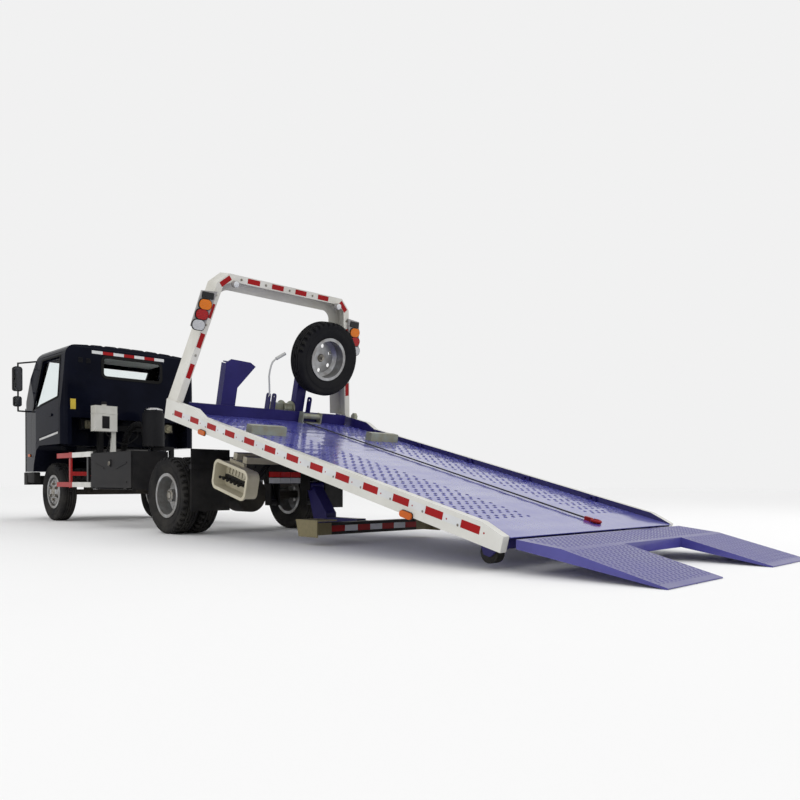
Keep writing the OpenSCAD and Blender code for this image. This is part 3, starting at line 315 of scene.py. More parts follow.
tyre = bmesh.new()
turned(tyre, section, TYRE_STEPS)
slots = []
for face in tyre.faces:
    spot = face.calc_center_median()
    reach = math.hypot(spot.x, spot.z)
    turn = int(round((math.atan2(spot.z, spot.x) / math.tau + 0.5) * TYRE_STEPS - 0.5))
    shoulder = 0.05 < abs(spot.y) < 0.089 and reach > 0.358
    middle = abs(spot.y) < 0.008 and reach > 0.378
    if (shoulder and (turn + (spot.y > 0)) % 3 == 0) or (middle and turn % 4 == 0):
        slots.append(face)
cut = bmesh.ops.extrude_face_region(tyre, geom=slots)
for v in [g for g in cut["geom"] if isinstance(g, bmesh.types.BMVert)]:
    reach = math.hypot(v.co.x, v.co.z)
    v.co.x *= (reach - SLOT_DEPTH) / reach
    v.co.z *= (reach - SLOT_DEPTH) / reach
bmesh.ops.recalc_face_normals(tyre, faces=tyre.faces)

slide = next(j for j in frame["joints"] if j["name"] == "bed_slide")
slope = math.atan2(slide["axis"][2], slide["axis"][0])
deck_low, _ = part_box("bed_deck")
BED = Matrix.Translation((deck_low.x, 0.0, deck_low.z + 0.005 * math.cos(slope))) @ Matrix.Rotation(-slope, 4, "Y")
front_low, front_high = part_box("front_left_tyre")
rear_low, rear_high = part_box("rear_left_tyres")
front_x, rear_x = (front_low.x + front_high.x) / 2, (rear_low.x + rear_high.x) / 2
hub_z, front_y = front_high.z - TREAD_R, front_high.y - WALL_Y
rear_outer, rear_inner = rear_high.y - WALL_Y, rear_low.y + WALL_Y
tyre_sets = [("front_left_tyre", "front_left_wheel", [(front_x, front_y)]),
             ("front_right_tyre", "front_right_wheel", [(front_x, -front_y)]),
             ("rear_left_tyres", "rear_left_wheels", [(rear_x, rear_outer), (rear_x, rear_inner)]),
             ("rear_right_tyres", "rear_right_wheels", [(rear_x, -rear_outer), (rear_x, -rear_inner)])]
one_tyre = bpy.data.meshes.new("one_tyre")
tyre.to_mesh(one_tyre)
tyre.free()
for node, body, spots in tyre_sets:
    rings = bmesh.new()
    for x, y in spots:
        known = set(rings.verts)
        rings.from_mesh(one_tyre)
        set_in(rings, known, at((x, y, hub_z)))
    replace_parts(part(node + "_rubber", rings, rubber, body), node)
rings = bmesh.new()
rings.from_mesh(one_tyre)
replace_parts(part("spare_tyre_rubber", rings, rubber, "bed", BED @ at(SPARE_SPOT, -90)), "spare_tyre")
bpy.data.meshes.remove(one_tyre)

# Rims: pressed steel discs with hand holes in rolled wells, painted silver, with brake dust.
# Six nuts with flanges hold each one, and a cap covers each hub, bolted on at the rear.
rim_silver = coated("rim_silver", (0.40, 0.41, 0.42), (0.26, 0.25, 0.24), (0.3, 0.5), metal=0.75, mud=0.35,
                    grain=0.0002, patch=9.0)
dress(rim_silver, "front_left_rim", "front_right_rim", "rear_left_rims", "rear_right_rims", "spare_rim")
zinc_nuts = coated("zinc_nuts", (0.34, 0.33, 0.30), (0.2, 0.17, 0.13), (0.3, 0.5), metal=0.9, mud=0.3, patch=14.0)
cap_section = [(0.0, 0.014), (0.03, 0.013), (0.044, 0.008), (0.05, 0.0), (0.0, 0.0)]


def round_hub(x, y, radius, count, shift=0.0):
    """Spots evenly round a hub."""
    turns = [math.tau * (k + shift) / count for k in range(count)]
    return [(x + radius * math.cos(t), y, hub_z + radius * math.sin(t)) for t in turns]


for name, body, x, side, disc, ring_r, hub, cap_bolts in (
        ("front_left", "front_left_wheel", front_x, 1, front_y + 0.072, 0.102, front_y + 0.082, 0),
        ("front_right", "front_right_wheel", front_x, -1, front_y + 0.072, 0.102, front_y + 0.082, 0),
        ("rear_left", "rear_left_wheels", rear_x, 1, rear_outer - 0.0955, 0.108, rear_outer + 0.04, 8),
        ("rear_right", "rear_right_wheels", rear_x, -1, rear_outer - 0.0955, 0.108, rear_outer + 0.04, 8)):
    nuts = bmesh.new()
    for spot in round_hub(x, side * disc, ring_r, 6, 0.5):
        bolt(nuts, at(spot, -90 * side, "X"), 0.032, 0.028)
    turned(nuts, cap_section, 28, at((x, side * hub, hub_z), 0 if side > 0 else 180, "X"))
    for spot in round_hub(x, side * hub, 0.056, cap_bolts):
        bolt(nuts, at(spot, -90 * side, "X"), 0.012, 0.007)
    part(name + "_nuts", nuts, zinc_nuts, body)

# Side gear: folded steel toolbox with pressed V ribs on its drop door, fuel tank under straps, guard rails.
# The rails are tube, painted red at the front half and white at the rear, on black and red posts.
SIGNAL_RED, PAINT_BLACK = (0.42, 0.012, 0.012), (0.012, 0.012, 0.013)
STRAP, STRAP_WIDE, STRAP_END = 0.004, 0.05, -0.47
box_grey = coated("box_grey", (0.012, 0.012, 0.014), (0.02, 0.02, 0.022), (0.4, 0.58), mud=0.12, grain=0.0005,
                  ior=1.17)
tank_grey = coated("tank_grey", (0.035, 0.036, 0.039), (0.05, 0.05, 0.052), (0.35, 0.5), metal=0.3, dust=0.3,
                   mud=0.25)
dress(box_grey, "toolbox", "toolbox_door")
dress(tank_grey, "fuel_tank")
door_low, door_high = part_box("toolbox_door")
lock_x, lock_z = (door_low.x + door_high.x) / 2, door_high.z - 0.121
lock = bmesh.new()
turned(lock, [(0.0, 0.006), (0.018, 0.006), (0.022, 0.0), (0.0, 0.0)], 20, at((lock_x, door_high.y - 0.001, lock_z)))
block(lock, (lock_x - 0.005, door_high.y + 0.004, lock_z - 0.032),
      (lock_x + 0.005, door_high.y + 0.012, lock_z + 0.012))
part("toolbox_lock", lock, zinc_nuts, "toolbox_door")
tank_low, tank_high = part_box("fuel_tank")
out_y, under_z, over_z = tank_low.y - STRAP, tank_low.z - STRAP, tank_high.z + STRAP
straps = bmesh.new()
for x in (1.47, 2.02):
    for low_z, inner_y, high_z in ((under_z, tank_low.y, over_z), (tank_high.z, STRAP_END, over_z),
                                   (under_z, STRAP_END, tank_low.z)):
        block(straps, (x, out_y, low_z), (x + STRAP_WIDE, inner_y, high_z), 0.001)
turned(straps, [(0.0, 0.05), (0.036, 0.05), (0.042, 0.042), (0.042, 0.0), (0.0, 0.0)], 24,
       at((2.08, -0.68, tank_high.z), 90, "X"))
part("tank_straps", straps, frame_black, "chassis")


def second_colour(finish, axis, low, high, colour):
    """Paints the part of a finish whose object coordinate lies between two values in another colour."""
    tree, shader, spot = workings(finish)
    base = shader.inputs["Base Color"].links[0].from_socket
    across = add(tree, "VectorMath", {0: spot, 1: axis}, operation="DOT_PRODUCT").outputs["Value"]
    above, below = figure(tree, "GREATER_THAN", across, low), figure(tree, "LESS_THAN", across, high)
    inside = figure(tree, "MULTIPLY", above, below)
    grime = add(tree, "TexNoise", {"Vector": spot, "Scale": 30.0, "Detail": 6.0}).outputs[0]
    worn = blend(tree, grime, (*colour, 1), (*(c * 0.6 for c in colour), 1))
    tree.links.new(blend(tree, inside, base, worn), shader.inputs["Base Color"])


guard_paint = coated("guard_paint", (0.66, 0.66, 0.63), (0.5, 0.49, 0.46), (0.35, 0.5), dust=0.25, mud=0.15)
_, guard_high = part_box("side_guards")
post_face = guard_high.y - 0.0295
second_colour(guard_paint, (1, 0, 0), 2.83, 3.5, SIGNAL_RED)
second_colour(guard_paint, (0, 1, 0), -post_face, post_face, PAINT_BLACK)
second_colour(guard_paint, (1, 0, 0), 2.95, 3.01, SIGNAL_RED)
dress(guard_paint, "side_guards")

# Bumper, grille and lamps: moulded black plastic, and lenses in clear and red acrylic in steel boxes.
# Each lens has fine ribs on its inside that break up the light.
CLEAR_TONE = (0.55, 0.56, 0.57)
SHIELD_TOP = 0.643
moulded = coated("moulded", (0.010, 0.010, 0.011), (0.017, 0.017, 0.018), (0.45, 0.62), dust=0.12, mud=0.12,
                 speck=500.0, ior=1.17)
dress(moulded, "front_bumper", "grille")
nose_low, nose_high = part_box("front_bumper")
shields = bmesh.new()
for side in (-1, 1):
    near, far = sorted((side * (nose_high.y - 0.09), side * (nose_high.y - 0.006)))
    block(shields, (nose_low.x + 0.01, near, nose_high.z - 0.004), (4.6, far, SHIELD_TOP), 0.012, 3)
    block(shields, (4.2, near, 0.5), (nose_low.x + 0.012, far, SHIELD_TOP), 0.012, 3)
part("bumper_shields", shields, moulded, "chassis")


def lens_finish(name, colour):
    """Coloured acrylic with ribs both ways."""
    finish = coated(name, colour, tuple(min(1.0, c * 1.25) for c in colour), (0.1, 0.2), coat=0.15, dust=0.03,
                    grain=0.0001, ior=1.3)
    tree, shader, spot = workings(finish)
    ribs = [add(tree, "TexWave", {"Vector": spot, "Scale": 22.0, "Distortion": 0.0}, bands_direction=way).outputs[0]
            for way in ("Y", "Z")]
    raised(tree, shader, figure(tree, "ADD", *ribs), 0.5, 0.002)
    return finish


clear_lens = lens_finish("clear_lens", CLEAR_TONE)
dress(clear_lens, "headlamps")
tail_lens = lens_finish("tail_lens", (0.36, 0.008, 0.008))
second_colour(tail_lens, (0, 0, 1), 0.5, 0.5575, CLEAR_TONE)
second_colour(tail_lens, (1, 0, 0), -0.9355, 0.0, PAINT_BLACK)
dress(tail_lens, "tail_lamps")

# Behind the cab: moulded header tank with its cap, and a steel air cleaner with a clipped lid.
# The tank is milky plastic in two welded halves with a dark opening for its sight tube.
tank_poly = coated("tank_poly", (0.60, 0.60, 0.565), (0.50, 0.495, 0.45), (0.35, 0.5), dust=0.25, grain=0.0002)
dress(tank_poly, "expansion_tank")
dress(box_grey, "air_cleaner")
header_low, header_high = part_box("expansion_tank")
lid = bmesh.new()
turned(lid, [(0.0, 0.034), (0.028, 0.034), (0.034, 0.028), (0.034, 0.0), (0.0, 0.0)], 24,
       at((header_low.x + 0.07, 0.49, header_high.z), 90, "X"))
block(lid, (header_low.x - 0.003, 0.45, 1.185), (header_low.x, 0.545, 1.34))
part("tank_cap", lid, moulded, "chassis")
seam = bmesh.new()
block(seam, (header_low.x - 0.004, 0.346, 1.37), (header_low.x + 0.144, 0.634, 1.376))
part("tank_seam", seam, tank_poly, "chassis")
_, cleaner_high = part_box("air_cleaner")
bright = coated("bright", (0.62, 0.62, 0.63), (0.45, 0.44, 0.42), (0.2, 0.38), metal=1.0, patch=8.0)
cover = bmesh.new()
turned(cover, [(0.0, 0.026), (0.1, 0.026), (0.118, 0.012), (0.118, 0.0), (0.0, 0.0)], 40,
       at((2.74, -0.12, cleaner_high.z), 90, "X"))
part("air_cleaner_lid", cover, bright, "chassis")

# Hoses and cab mounts: ribbed rubber duct from the air cleaner to the engine and hoses along the hoop.
# The mounts are cast alloy brackets with a rubber bush, bolted to the hoop's ends.
HOSE_R, MOUNT_X, MOUNT_Y = 0.009, 3.145, 0.53


def ways(path):
    """Direction of a run of points at each of them."""
    return [ahead - behind for ahead, behind in zip(path[1:] + path[-1:], path[:1] + path[:-1])]


def pipe(bm, path, radius, sides=10):
    """Round bar or hose along a run of points."""
    path = [Vector(p) for p in path]
    last = None
    for k, (spot, way) in enumerate(zip(path, ways(path))):
        place = at(spot) @ way.to_track_quat("Z", "Y").to_matrix().to_4x4()
        made = bmesh.ops.create_circle(bm, cap_ends=k in (0, len(path) - 1), segments=sides, radius=radius,
                                       matrix=place)
        ring = list({e for v in made["verts"] for e in v.link_edges})
        if last:
            bmesh.ops.bridge_loops(bm, edges=last + ring)
        last = ring


def bent(points, steps=6):
    """Smooth run of points through the given ones."""
    points = [Vector(p) for p in points]
    padded = [points[0] * 2 - points[1]] + points + [points[-1] * 2 - points[-2]]
    path = []
    for a, b, c, d in zip(padded, padded[1:], padded[2:], padded[3:]):
        square, cube = a * 2 - b * 5 + c * 4 - d, b * 3 - a - c * 3 + d
        for k in range(steps):
            t = k / steps
            path.append((b * 2 + (c - a) * t + square * t * t + cube * t ** 3) / 2)
    return path + [points[-1]]


hoses = bmesh.new()
run = bent([(2.86, -0.06, 1.25), (2.99, 0.01, 1.26), (3.12, 0.06, 1.14), (3.2, 0.08, 0.93)], 9)
for k, (spot, way) in enumerate(zip(run, ways(run))):
    bulge = 0.046 if k % 2 else 0.041
    turned(hoses, [(0.0, -0.012), (bulge, -0.008), (bulge, 0.008), (0.0, 0.012)], 16,
           at(spot) @ way.to_track_quat("Y", "Z").to_matrix().to_4x4())
for route in ([(3.2, 0.34, 1.2), (3.14, 0.30, 1.11), (3.11, 0.11, 1.01), (3.14, -0.08, 1.11), (3.2, -0.12, 1.2)],
              [(3.2, -0.16, 1.2), (3.14, -0.19, 1.11), (3.11, -0.34, 1.02), (3.14, -0.49, 1.11), (3.2, -0.52, 1.2)],
              [(2.85, 0.4, 1.16), (2.87, 0.42, 1.0), (3.0, 0.4, 0.85), (3.16, 0.31, 0.8), (3.25, 0.24, 0.8)]):
    pipe(hoses, bent(route), HOSE_R)
part("engine_hoses", hoses, moulded, "chassis")
cast_bronze = coated("cast_bronze", (0.20, 0.185, 0.12), (0.11, 0.10, 0.075), (0.4, 0.6), metal=0.6, dust=0.3,
                     grain=0.001, speck=90.0, patch=16.0)
bush_section = [(0.0, 0.03), (0.028, 0.03), (0.034, 0.018), (0.056, 0.016), (0.06, 0.0), (0.0, 0.0)]
mounts = bmesh.new()
for side in (-1, 1):
    middle_y = side * MOUNT_Y
    block(mounts, (MOUNT_X, middle_y - 0.075, 1.20), (3.19, middle_y + 0.075, 1.305), 0.012, 3)
    turned(mounts, bush_section, 28, at((3.147, middle_y, 1.25), 90))
    for y in (-0.06, 0.06):
        bolt(mounts, at((MOUNT_X, middle_y + y, 1.215), -90, "Y"), 0.022, 0.014)
part("cab_mounts", mounts, cast_bronze, "chassis")

# Cab: welded steel shell and two hung doors in dark navy gloss, with bonded tinted glass.
# Rubber runs round each window, and the seats, dashboard and mirrors are dark plastic and cloth.
CAB_SIDE = 0.92
HANDS = (("left", 1), ("right", -1))
cab_navy = coated("cab_navy", (0.0030, 0.0036, 0.008), (0.005, 0.006, 0.013), (0.12, 0.22), coat=0.04, dust=0.02,
                  mud=0.05, grain=0.00004, speck=350.0, ior=1.09)
dress(cab_navy, "cab_shell", "door_left", "door_right")
dress(moulded, "mirrors")
cab_cloth = coated("cab_cloth", (0.035, 0.036, 0.04), (0.05, 0.05, 0.054), (0.8, 0.95), dust=0.1, grain=0.002,
                   speck=420.0)
dress(cab_cloth, "cab_interior")
tinted = bpy.data.materials.new("tinted")
tinted.use_nodes = True
tint_tree, tint_shader, tint_place = workings(tinted)
tint_shader.inputs["Transmission Weight"].default_value = 1.0
tint_shader.inputs["IOR"].default_value = 1.05
film = add(tint_tree, "TexNoise", {"Vector": tint_place, "Scale": 7.0, "Detail": 6.0}).outputs[0]
tint_tree.links.new(spread(tint_tree, film, 0.4, 0.7, 0.0, 0.02), tint_shader.inputs["Roughness"])
film_tone = blend(tint_tree, film, (0.94, 0.97, 0.97, 1), (0.90, 0.94, 0.94, 1))
tint_tree.links.new(film_tone, tint_shader.inputs["Base Color"])
dress(tinted, "cab_glass", "door_left_glass", "door_right_glass")


def oblong(left, right, low, high):
    """Corner pairs of an upright oblong."""
    return (left, low), (right, low), (right, high), (left, high)


def sheet(bm, corners, radius):
    """Flat face from its corner points, with each corner rounded."""
    known = set(bm.faces)
    points = [bm.verts.new(c) for c in corners]
    bm.faces.new(points)
    bmesh.ops.bevel(bm, geom=points, offset=radius, segments=4, profile=0.5, affect="VERTICES", material=-1)
    return [f for f in bm.faces if f not in known]


def pull(bm, faces, depth):
    """Pulls flat faces out into a solid."""
    made = bmesh.ops.extrude_face_region(bm, geom=faces)
    moved = [g for g in made["geom"] if isinstance(g, bmesh.types.BMVert)]
    bmesh.ops.translate(bm, vec=Vector(depth), verts=moved)


def seal(bm, corners, radius, width, depth):
    """Strip of rubber or metal of even width round an opening."""
    faces = sheet(bm, corners, radius)
    strip = bmesh.ops.inset_region(bm, faces=faces, thickness=width, use_even_offset=True, use_boundary=True)
    bmesh.ops.delete(bm, geom=faces, context="FACES")
    pull(bm, strip["faces"], depth)


liner_cloth = coated("liner_cloth", (0.62, 0.62, 0.60), (0.54, 0.54, 0.52), (0.85, 0.95), dust=0.0, grain=0.001,
                     speck=420.0)
liner = bmesh.new()
block(liner, (3.14, -0.70, 2.185), (4.02, 0.70, 2.197), 0.004)
part("headliner", liner, liner_cloth, "cab")
window_rubber = coated("window_rubber", (0.010, 0.010, 0.010), (0.016, 0.016, 0.016), (0.6, 0.75), dust=0.1,
                       ior=1.15)
cab_low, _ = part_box("cab_shell")
back_x = cab_low.x
rubbers = bmesh.new()
seal(rubbers, [(back_x, y, z) for y, z in oblong(-0.425, 0.425, 1.85, 2.15)], 0.07, 0.036, (-0.008, 0, 0))
part("rear_window_rubber", rubbers, window_rubber, "cab")


def skin_y(x, z):
    """Distance of the cab's side from its middle, at a place along it and a height."""
    return min(CAB_SIDE - 0.1034 * max(0.0, x - front_x - 0.24), CAB_SIDE - 0.0639 * max(0.0, z - 1.45))


door_window = ((-0.522, 1.578), (-0.522, 2.125), (0.102, 2.125), (0.399, 1.438), (0.06, 1.508))
for hand, side in HANDS:
    rubbers = bmesh.new()
    seal(rubbers, [(front_x + x, 0.0, z) for x, z in door_window], 0.03, 0.022, (0, 0.005, 0))
    for v in rubbers.verts:
        v.co.y = side * (v.co.y + skin_y(v.co.x, v.co.z))
    part("door_" + hand + "_rubber", rubbers, window_rubber, "door_" + hand)

# Tape and plate on the cab's back: reflecting tape in blocks under the roof's edge and a bare yellow plate.
# Pressed vents beside the window let the cab's air out.
TAPE_THICK, TAPE_EDGE = 0.0012, 0.0004


def tape_finish(name, colour):
    """Reflecting tape with its honeycomb of cells."""
    finish = coated(name, colour, tuple(c * 0.85 for c in colour), (0.25, 0.4), dust=0.05, grain=0.00005, ior=1.25)
    tree, shader, spot = workings(finish)
    cells = add(tree, "TexVoronoi", {"Vector": spot, "Scale": 160.0, "Randomness": 0.0}, feature="DISTANCE_TO_EDGE")
    raised(tree, shader, cells.outputs[0], 0.4, 0.0008)
    return finish


tape_red = tape_finish("tape_red", (0.33, 0.004, 0.006))
tape_white = tape_finish("tape_white", (0.66, 0.67, 0.68))
for name, finish, first in (("cab_tape_white", tape_white, 0), ("cab_tape_red", tape_red, 1)):
    strip = bmesh.new()
    for k in range(first, 7, 2):
        y = 0.545 - 0.1425 * k
        block(strip, (back_x - TAPE_THICK, y - 0.1415, 2.158), (back_x, y, 2.198), TAPE_EDGE, 1)
    part(name, strip, finish, "cab")
vents = bmesh.new()
for y in (0.66, 0.56):
    for k in range(4):
        z = 2.03 + 0.016 * k
        block(vents, (back_x - 0.006, y, z), (back_x, y + 0.06, z + 0.009))
part("cab_vents", vents, moulded, "cab")
yellow = coated("yellow", (0.55, 0.40, 0.03), (0.45, 0.33, 0.04), (0.4, 0.55), dust=0.15)
badge = bmesh.new()
block(badge, (back_x - 0.002, 0.75, 1.43), (back_x, 0.818, 1.56), 0.0008, 1)
part("bare_plate", badge, yellow, "cab")

# Cab trim: bright strips over the wheel arches, side turn lamps, wipers and the silvered glass of the mirrors.
# Strips and lamps are clipped on; each wiper's arm presses its blade on the glass.
amber_lens = lens_finish("amber_lens", (0.44, 0.085, 0.004))
arch_line = ((3.22, 1.148), (3.86, 1.081), (3.86, 1.055), (3.22, 1.122))
lamp_y = skin_y(4.31, 0.87) - 0.004
mirror_panes = ((4.410, oblong(0.960, 1.058, 1.762, 2.073)), (4.414, oblong(0.967, 1.051, 1.551, 1.669)))
arch_strips, turn_lamps, mirror_faces = bmesh.new(), bmesh.new(), bmesh.new()
for side in (-1, 1):
    strip = sheet(arch_strips, [(x, side * CAB_SIDE, z) for x, z in arch_line], 0.008)
    pull(arch_strips, strip, (0, side * 0.004, 0))
    oval = sheet(turn_lamps, [(x, side * lamp_y, z) for x, z in oblong(4.275, 4.345, 0.852, 0.888)], 0.016)
    pull(turn_lamps, oval, (0, side * 0.02, 0))
    for x, pane in mirror_panes:
        pull(mirror_faces, sheet(mirror_faces, [(x, side * y, z) for y, z in pane], 0.024), (-0.0015, 0, 0))
part("arch_strips", arch_strips, bright, "cab")
part("turn_lamps", turn_lamps, amber_lens, "cab")
silvered = coated("silvered", (0.72, 0.74, 0.75), (0.66, 0.68, 0.69), (0.03, 0.08), metal=1.0, dust=0.0,
                  grain=0.00001)
part("mirror_faces", mirror_faces, silvered, "cab")

glass_foot = Vector((4.69, 0, 1.4))
glass_way, glass_out = Vector((-0.6247, 0, 0.7809)), Vector((0.7809, 0, 0.6247))


def on_glass(y, rise, stand):
    """Spot a rise up the windscreen and a distance off its face."""
    return glass_foot + glass_way * rise + glass_out * stand + Vector((0, y, 0))


wipers = bmesh.new()
for near, far in ((-0.60, -0.06), (0.02, 0.56)):
    ends = [on_glass(near, 0.17, -0.014), on_glass(far, 0.14, -0.014)]
    pipe(wipers, ends, 0.007, 6)
    pipe(wipers, [on_glass(far + 0.02, 0.075, 0.008), (ends[0] + ends[1]) / 2 + glass_out * 0.012], 0.006, 6)
part("wipers", wipers, moulded, "cab")

# Tilt frame and its cylinders: channel in black, barrels in black and rods in hard chrome.
# The valve chest is folded sheet in cream, with a row of levers under black knobs and hoses out of its back.
ram_black = coated("ram_black", (0.011, 0.011, 0.012), (0.018, 0.018, 0.019), (0.3, 0.45), ior=1.25)
hard_chrome = coated("hard_chrome", (0.72, 0.73, 0.74), (0.62, 0.62, 0.62), (0.08, 0.2), metal=1.0, dust=0.05,
                     grain=0.00003)
cream = coated("cream", (0.56, 0.52, 0.40), (0.46, 0.42, 0.31), (0.35, 0.5), mud=0.05)
dress(frame_black, "tilt_frame")
dress(ram_black, "slide_barrel", "tilt_barrels")
dress(hard_chrome, "slide_rod", "tilt_rods")
dress(cream, "control_box")
dress(moulded, "control_levers")
valve_run = ((0.775, -0.49), (0.70, -0.51), (0.58, -0.47), (0.47, -0.34), (0.40, -0.22), (0.319, -0.185))
valve_hoses = bmesh.new()
for k in range(3):
    pipe(valve_hoses, bent([(3.18 + 0.03 * k, y, w) for y, w in valve_run]), HOSE_R)
part("valve_hoses", valve_hoses, moulded, "tilt_frame", BED)

# Bed: welded deck in violet-blue gloss on beams and runners of the same blue, theirs painted much darker as shade.
# Pressed rings in two wide bands give grip; the welds of the beams pull faint ripples in the plate.
RIPPLE_STEP = 0.19
GRIP_START, GRIP_ROWS, GRIP_ALONG, GRIP_ACROSS = 0.37, 31, 0.11, 0.085
AHEAD = BED.to_3x3() @ Vector((1, 0, 0))
# Beams, runners, front gear and lift arm take a much darker copy of the deck's blue: painted shade.
shaded_bed_blue = coated("shaded_bed_blue", (0.012, 0.009, 0.085), (0.02, 0.016, 0.12), (0.3, 0.45), dust=0.1, mud=0.05, ior=1.3)
deck_blue = coated("deck_blue", (0.045, 0.048, 0.32), (0.07, 0.074, 0.38), (0.2, 0.4), coat=0.75, dust=0.1,
                   patch=2.2)
deck_tree, deck_shader, deck_spot = workings(deck_blue)
deck_run = add(deck_tree, "VectorMath", {0: deck_spot, 1: tuple(AHEAD)}, operation="DOT_PRODUCT").outputs["Value"]
ripple = figure(deck_tree, "SINE", figure(deck_tree, "MULTIPLY", deck_run, math.tau / RIPPLE_STEP))
pulled = add(deck_tree, "Bump", {"Strength": 0.5, "Distance": 0.0012, "Height": ripple,
                                 "Normal": deck_shader.inputs["Normal"].links[0].from_socket})
for socket in ("Normal", "Coat Normal"):
    deck_tree.links.new(pulled.outputs[0], deck_shader.inputs[socket])
dress(deck_blue, "bed_deck")
dress(shaded_bed_blue, "bed_frame", "front_gear")


def rows(made, count, step):
    """Repeats a piece along a step."""
    more = made.modifiers.new("rows", "ARRAY")
    more.use_relative_offset = False
    more.use_constant_offset = True
    more.constant_offset_displace = step
    more.count = count


ring_section = [(0.0175, -0.0005), (0.0155, 0.0016), (0.0125, 0.0022), (0.0112, -0.0005)]
# A dark disc in the middle of each pressed ring is painted shade, standing in for the ring's dark hollow.
hole_shade = coated("hole_shade", (0.006, 0.006, 0.014), (0.010, 0.010, 0.024), (0.6, 0.8), dust=0.0, ior=1.15)
for hand, first, count in (("left", 0.335, 8), ("right", -1.0, 7)):
    rings, shade_discs = bmesh.new(), bmesh.new()
    for u, y in ((0.0, 0.0), (0.043, 0.0425)):
        turned(rings, ring_section, 10, at((GRIP_START + u, first + y, 0.0), 90, "X"))
        stub(shade_discs, 10, 0.0118, 0.0116, 0.0012, at((GRIP_START + u, first + y, 0.0006)))
    for name, shape, finish in (("grip_", rings, deck_blue), ("grip_holes_", shade_discs, hole_shade)):
        made = part(name + hand, shape, finish, "bed", BED, 60)
        rows(made, GRIP_ROWS, AHEAD * GRIP_ALONG)
        rows(made, count, (0, GRIP_ACROSS, 0))

# Side rails: folded steel in white enamel outside and blue inside, with red and white tape along them.
# Bolts and round reflectors sit between the blocks; amber lamps in black sockets are screwed under the tape.
RAIL_FACE, RAIL_STEP = 1.075, 0.3
rail_enamel = coated("rail_enamel", (0.66, 0.655, 0.62), (0.58, 0.575, 0.53), (0.25, 0.42), coat=0.2, dust=0.12)
second_colour(rail_enamel, (0, 1, 0), -1.0165, 1.0165, (0.018, 0.014, 0.12))
dress(rail_enamel, "bed_rails")
for name, finish, first, count in (("rail_tape_red", tape_red, 0.183, 13), ("rail_tape_white", tape_white, 0.333, 12)):
    for hand, side in HANDS:
        strip = bmesh.new()
        near, far = sorted((side * RAIL_FACE, side * (RAIL_FACE + 0.0008)))
        block(strip, (first, near, -0.037), (first + 0.1495, far, 0.013), 0.0003, 1)
        rows(part(name + "_" + hand, strip, finish, "bed", BED), count, AHEAD * RAIL_STEP)
for hand, side in HANDS:
    button, rail_bolt = bmesh.new(), bmesh.new()
    stub(button, 10, 0.0065, 0.0045, 0.002, at((0.15, side * (RAIL_FACE + 0.001), -0.018), -90 * side, "X"))
    rows(part("rail_buttons_" + hand, button, tape_red, "bed", BED), 13, AHEAD * RAIL_STEP)
    bolt(rail_bolt, at((0.355, side * RAIL_FACE, -0.03), -90 * side, "X"), 0.012, 0.004)
    rows(part("rail_bolts_" + hand, rail_bolt, zinc_nuts, "bed", BED), 13, AHEAD * RAIL_STEP)
markers, sockets = bmesh.new(), bmesh.new()
for side in (-1, 1):
    for u in (0.78, 3.39):
        for shape, half, low, high, out, radius, depth in (
                (sockets, 0.057, -0.114, -0.064, RAIL_FACE, 0.022, 0.006),
                (markers, 0.054, -0.111, -0.067, RAIL_FACE + 0.006, 0.02, 0.014)):
            corners = [(a, side * out, w) for a, w in oblong(u - half, u + half, low, high)]
            pull(shape, sheet(shape, corners, radius), (0, side * depth, 0))
part("marker_sockets", sockets, moulded, "bed", BED)
part("marker_lenses", markers, amber_lens, "bed", BED)

# Headboard: one white channel bent over the front of the bed, with tape and bolts on its rear flange.
# A lamp plate stands on each post and a round work lamp hangs under each end of the top bar.
HEAD_U, POST_LEAN, POST_MIDDLE, POST_BOLT = 3.93, 0.2298, 0.034, 0.15
UPWARD = BED.to_3x3() @ Vector((0, 0, 1))
head_enamel = coated("head_enamel", (0.64, 0.63, 0.585), (0.55, 0.535, 0.48), (0.25, 0.42), coat=0.2, dust=0.12)
dress(head_enamel, "headboard")
lamp_grey = coated("lamp_grey", (0.34, 0.33, 0.325), (0.27, 0.26, 0.255), (0.35, 0.5), dust=0.1)
dress(lamp_grey, "headboard_lamps")
deck_w = UPWARD.dot(BED.translation)
head_lens = lens_finish("head_lens", (0.56, 0.14, 0.006))
for low, high, colour in ((0.77, 0.870, (0.60, 0.61, 0.62)), (0.870, 0.966, (0.40, 0.008, 0.010)),
                          (1.06, 1.13, PAINT_BLACK)):
    second_colour(head_lens, tuple(UPWARD), deck_w + low, deck_w + high, colour)
dress(head_lens, "headboard_lenses")


def post_y(w):
    """Outer edge of a headboard post at a height over the deck."""
    return 1.07 - POST_LEAN * (w - 0.09)


def tape_block(bm, half_y, half_w, place):
    """One block of tape, flat on a rear face."""
    known = set(bm.verts)
    block(bm, (-TAPE_THICK, -half_y, -half_w), (0.0, half_y, half_w), TAPE_EDGE, 1)
    set_in(bm, known, place)


